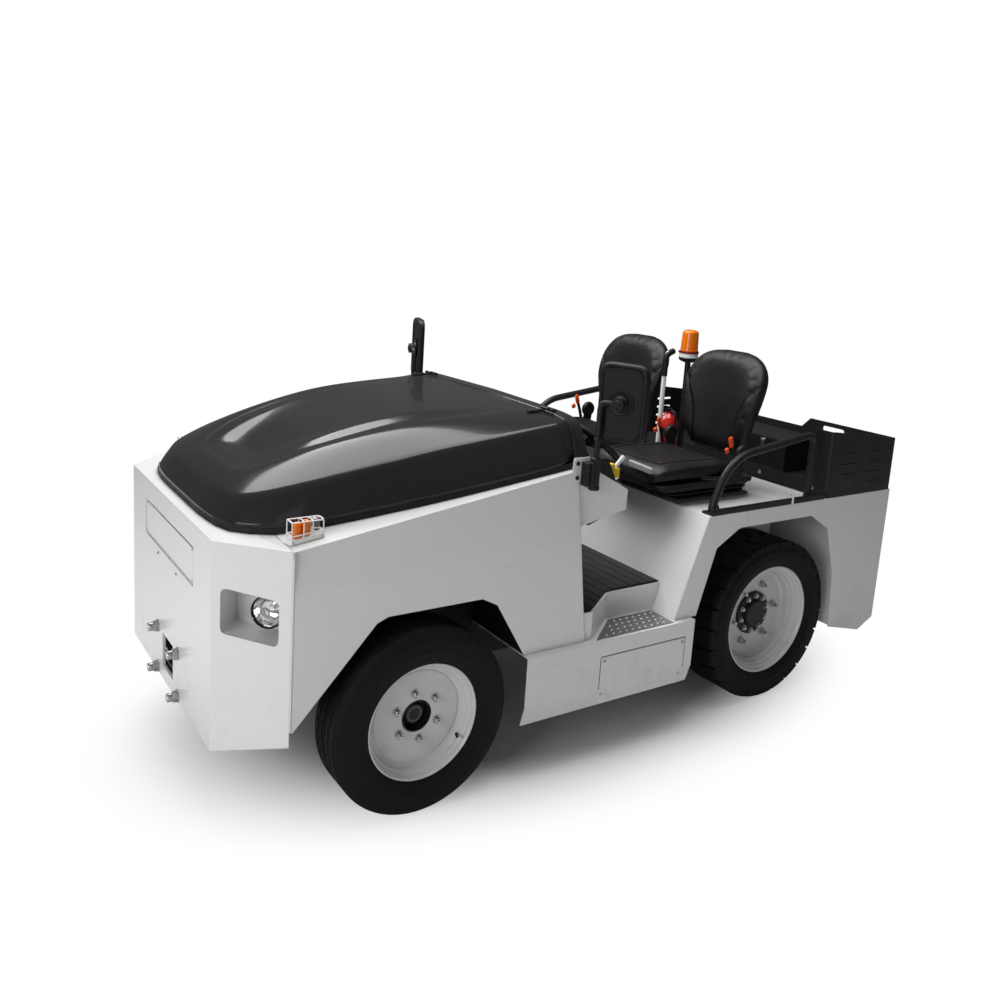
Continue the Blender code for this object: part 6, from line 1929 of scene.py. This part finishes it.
POD_X, POD_DROP = 0.300, 0.027             # the instrument pod's middle, below the dash's top
POD_STEPS = ((-0.050, 0.86), (-0.040, 0.97), (0.000, 1.0), (0.012, 0.98), (0.014, 0.93),
             (0.006, 0.90))
SWITCHES, SWITCH_PITCH = 6, 0.052
PEDALS = ((0.235, 0.036), (0.360, 0.028))  # place across and half width
PEDAL_Y, PEDAL_RISE = -0.150, 0.100


class TUG_OT_dashboard(bpy.types.Operator):
    """Add the instrument pod, switches and pedals"""
    bl_idname = "tug.dashboard"
    bl_label = "Dashboard"

    def execute(self, context):
        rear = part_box("dash")[1].y
        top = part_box("dash")[1].z
        pod = Form()
        outline = rounded([(-0.130, -0.058), (0.130, -0.058), (0.100, 0.057), (-0.100, 0.057)],
                          0.030, 6)
        middle = (POD_X, top - POD_DROP)
        pod.loft([[(middle[0] + u * scale, rear + depth, middle[1] + v * scale) for u, v in outline]
                  for depth, scale in POD_STEPS])
        pod.done("instrument_pod", "console", smooth=40.0)
        glass = Form()
        glass.prism([(middle[0] + u * 0.88, middle[1] + v * 0.86) for u, v in outline],
                    "y", rear + 0.005, rear + 0.0075)
        glass.done("instrument_glass", "screen")
        keys = Form()
        for k in range(SWITCHES):
            x = -0.060 - SWITCH_PITCH * k
            plan = oblong(x - 0.018, top - 0.080, x + 0.018, top - 0.045, 0.005, 3)
            keys.prism(plan, "y", rear - 0.001, rear + 0.007 + 0.002 * (k % 2))
        keys.lathe([(0.0, 0.016), (0.008, 0.016), (0.010, 0.013), (0.010, 0.0)],
                   (0.060, rear, top - 0.062), BACKWARD, 24)
        keys.box((0.057, rear + 0.009, top - 0.072), (0.063, rear + 0.026, top - 0.052))
        keys.done("dash_switches", "plastic", bevel=0.0015)
        tray = Form()
        ends = oblong(-0.560, top - 0.220, -0.080, top - 0.115, 0.014, 4)
        tray.prism(ends, "y", rear - 0.001, rear + 0.004)
        tray.done("glove_lid", "plastic", bevel=0.0015)
        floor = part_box("floor_mat")[1].z
        pedals = Form()
        rods = Form()
        for x, wide in PEDALS:
            rings = []
            for depth, inset in ((0.0, 0.002), (0.003, 0.0), (0.011, 0.0), (0.014, 0.003)):
                w, h = wide - inset, 0.042 - inset
                plan = oblong(-w, -h, w, h, 0.006, 3)
                rings.append([Vector((x + u, PEDAL_Y - v * 0.50 + depth * 0.85,
                                      floor + PEDAL_RISE + v * 0.85 + depth * 0.5))
                              for u, v in plan])
            pedals.loft(rings)
            rods.tube([(x, -0.152, floor + 0.096), (x, -0.215, floor + 0.150),
                       (x, -0.262, floor + 0.250)], 0.008, 0.03, 8)
        pedals.done("pedal_pads", "seal")
        rods.done("pedal_arms", "black")
        return {"FINISHED"}


# Finish, shift from the lamp's middle and half width of each lens.
TAIL_LENSES = (("red_lens", 0.042, 0.036), ("amber", -0.010, 0.018), ("clear", -0.052, 0.024))
TAIL_LAMP_X, TAIL_LAMP_LOW, TAIL_LAMP_HIGH = 0.560, 0.760, 0.840
REFLECTOR_X, REFLECTOR_Z = 0.610, 0.560
BOX_BOLTS_X, BOX_BOLTS_Z = (-0.62, -0.3165, 0.3165, 0.62), 0.945
HITCH_PLATES_X, HITCH_PLATES_Z = ((-0.112, -0.0765), (0.0765, 0.112)), (0.300, 0.570)
HITCH_BOLTS_X, HITCH_BOLTS_Z = (-0.094, 0.094), (0.325, 0.435, 0.545)


class TUG_OT_rear(bpy.types.Operator):
    """Add the rear box inlays, tail lamps, reflectors, hitch and lift fittings"""
    bl_idname = "tug.rear"
    bl_label = "Rear fittings"

    def execute(self, context):
        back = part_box("tail_block")[1].y
        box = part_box("rear_box")
        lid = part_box("locker")
        inlay = Form()
        plan = oblong(lid[0].x + 0.012, lid[0].y + 0.012, lid[1].x - 0.012, lid[1].y - 0.012,
                      0.012, 4)
        inlay.prism(plan, "z", lid[1].z - 0.001, lid[1].z + 0.003)
        inlay.done("locker_lid", "console", bevel=0.0015)
        fixings = Form()
        fixings.bolts([(x, box[0].y, BOX_BOLTS_Z) for x in BOX_BOLTS_X], FORWARD, 0.007, 0.006)
        fixings.screws([(x, lid[0].y, lid[1].z - 0.030) for x in (-0.26, 0.26)],
                       FORWARD, 0.006, 0.003)
        fixings.done("box_bolts", "steel")
        clamps = Form()
        face, top = lid[0].y, lid[1].z
        for x in (-0.16, 0.16):
            clamps.box((x - 0.014, face - 0.006, top - 0.050), (x + 0.014, face, top - 0.008))
            clamps.tube([(x + u, face - 0.008, top - drop) for u, drop in
                         ((-0.008, 0.045), (-0.008, 0.014), (0.008, 0.014), (0.008, 0.045))],
                        0.0022, 0.004, 8)
        clamps.done("locker_clamps", "steel", bevel=0.001)
        for label, side in SIDES:
            lamps = Form()
            middle = TAIL_LAMP_X * side
            plan = oblong(middle - 0.085, TAIL_LAMP_LOW, middle + 0.085, TAIL_LAMP_HIGH, 0.018)
            lamps.prism(plan, "y", back - 0.001, back + 0.012)
            lamps.done("tail_lamp_base_" + label, "plastic", bevel=0.003)
            for finish, shift, wide in TAIL_LENSES:
                form = Form()
                x = middle + side * shift
                lens_plan = oblong(x - wide, TAIL_LAMP_LOW + 0.010, x + wide,
                                   TAIL_LAMP_HIGH - 0.010, 0.012)
                form.prism(lens_plan, "y", back + 0.0112, back + 0.0205)
                form.done("tail_%s_%s" % (finish, label), finish, bevel=0.005, segments=3)
            disc = Form()
            disc.lathe([(0.0, 0.030), (0.006, 0.030), (0.008, 0.027), (0.008, 0.0)],
                       (REFLECTOR_X * side, back, REFLECTOR_Z), BACKWARD, 32)
            disc.done("reflector_" + label, "red_lens")
        plate = Form()
        for left, right in HITCH_PLATES_X:
            plate.box((left, back, HITCH_PLATES_Z[0]), (right, back + 0.008, HITCH_PLATES_Z[1]))
        plate.done("hitch_plates", "black", bevel=0.0015)
        bolts = Form()
        bolts.bolts([(x, back + 0.0078, z) for x in HITCH_BOLTS_X for z in HITCH_BOLTS_Z],
                    BACKWARD, 0.010, 0.009)
        bolts.done("hitch_bolts", "steel")
        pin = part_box("tow_pin")
        grip = Form()
        top = pin[1].z
        x, y = (pin[0].x + pin[1].x) / 2, (pin[0].y + pin[1].y) / 2
        ring = [(x + 0.022 * u, y + 0.030 + 0.018 * v, top - 0.007) for u, v in circle(1.0, 24)]
        grip.tube(ring, 0.0045, sides=8, closed=True)
        grip.done("tow_pin_ring", "steel", "tow_pin", smooth=60.0)
        return {"FINISHED"}


PIECE_OPERATORS = (
    TUG_OT_tyres,
    TUG_OT_rims,
    TUG_OT_hood,
    TUG_OT_seats,
    TUG_OT_headlamps,
    TUG_OT_markers,
    TUG_OT_nose,
    TUG_OT_mirrors,
    TUG_OT_seat_fittings,
    TUG_OT_steering,
    TUG_OT_corners,
    TUG_OT_wheel_houses,
    TUG_OT_beacon,
    TUG_OT_levers,
    TUG_OT_deck,
    TUG_OT_dashboard,
    TUG_OT_rear,
)


# Panel and script

CLASSES = (
    TugStage, TugColours, TugSizes,
    TUG_OT_finishes, TUG_OT_studio, TUG_OT_packed_finishes,
) + PIECE_OPERATORS


class TUG_PT_sidebar(bpy.types.Panel):
    """Lists the steps in order"""
    bl_idname = "TUG_PT_sidebar"
    bl_label = "Baggage Tug"
    bl_space_type = "VIEW_3D"
    bl_region_type = "UI"
    bl_category = "Tug"

    def draw(self, context):
        for cls in CLASSES:
            if issubclass(cls, bpy.types.Operator):
                self.layout.operator(cls.bl_idname)
        for group in (context.scene.tug_stage, context.scene.tug_colours, context.scene.tug_sizes):
            box = self.layout.box()
            for key in group.__annotations__:
                box.prop(group, key)


def register():
    for cls in CLASSES + (TUG_PT_sidebar,):
        bpy.utils.register_class(cls)
    bpy.types.Scene.tug_stage = PointerProperty(type=TugStage)
    bpy.types.Scene.tug_colours = PointerProperty(type=TugColours)
    bpy.types.Scene.tug_sizes = PointerProperty(type=TugSizes)


def unregister():
    del bpy.types.Scene.tug_sizes
    del bpy.types.Scene.tug_colours
    del bpy.types.Scene.tug_stage
    for cls in reversed(CLASSES + (TUG_PT_sidebar,)):
        bpy.utils.unregister_class(cls)


def main():
    register()
    for cls in CLASSES:
        if issubclass(cls, bpy.types.Operator):
            group, step = cls.bl_idname.split(".")
            getattr(getattr(bpy.ops, group), step)()


if __name__ == "__main__":
    main()
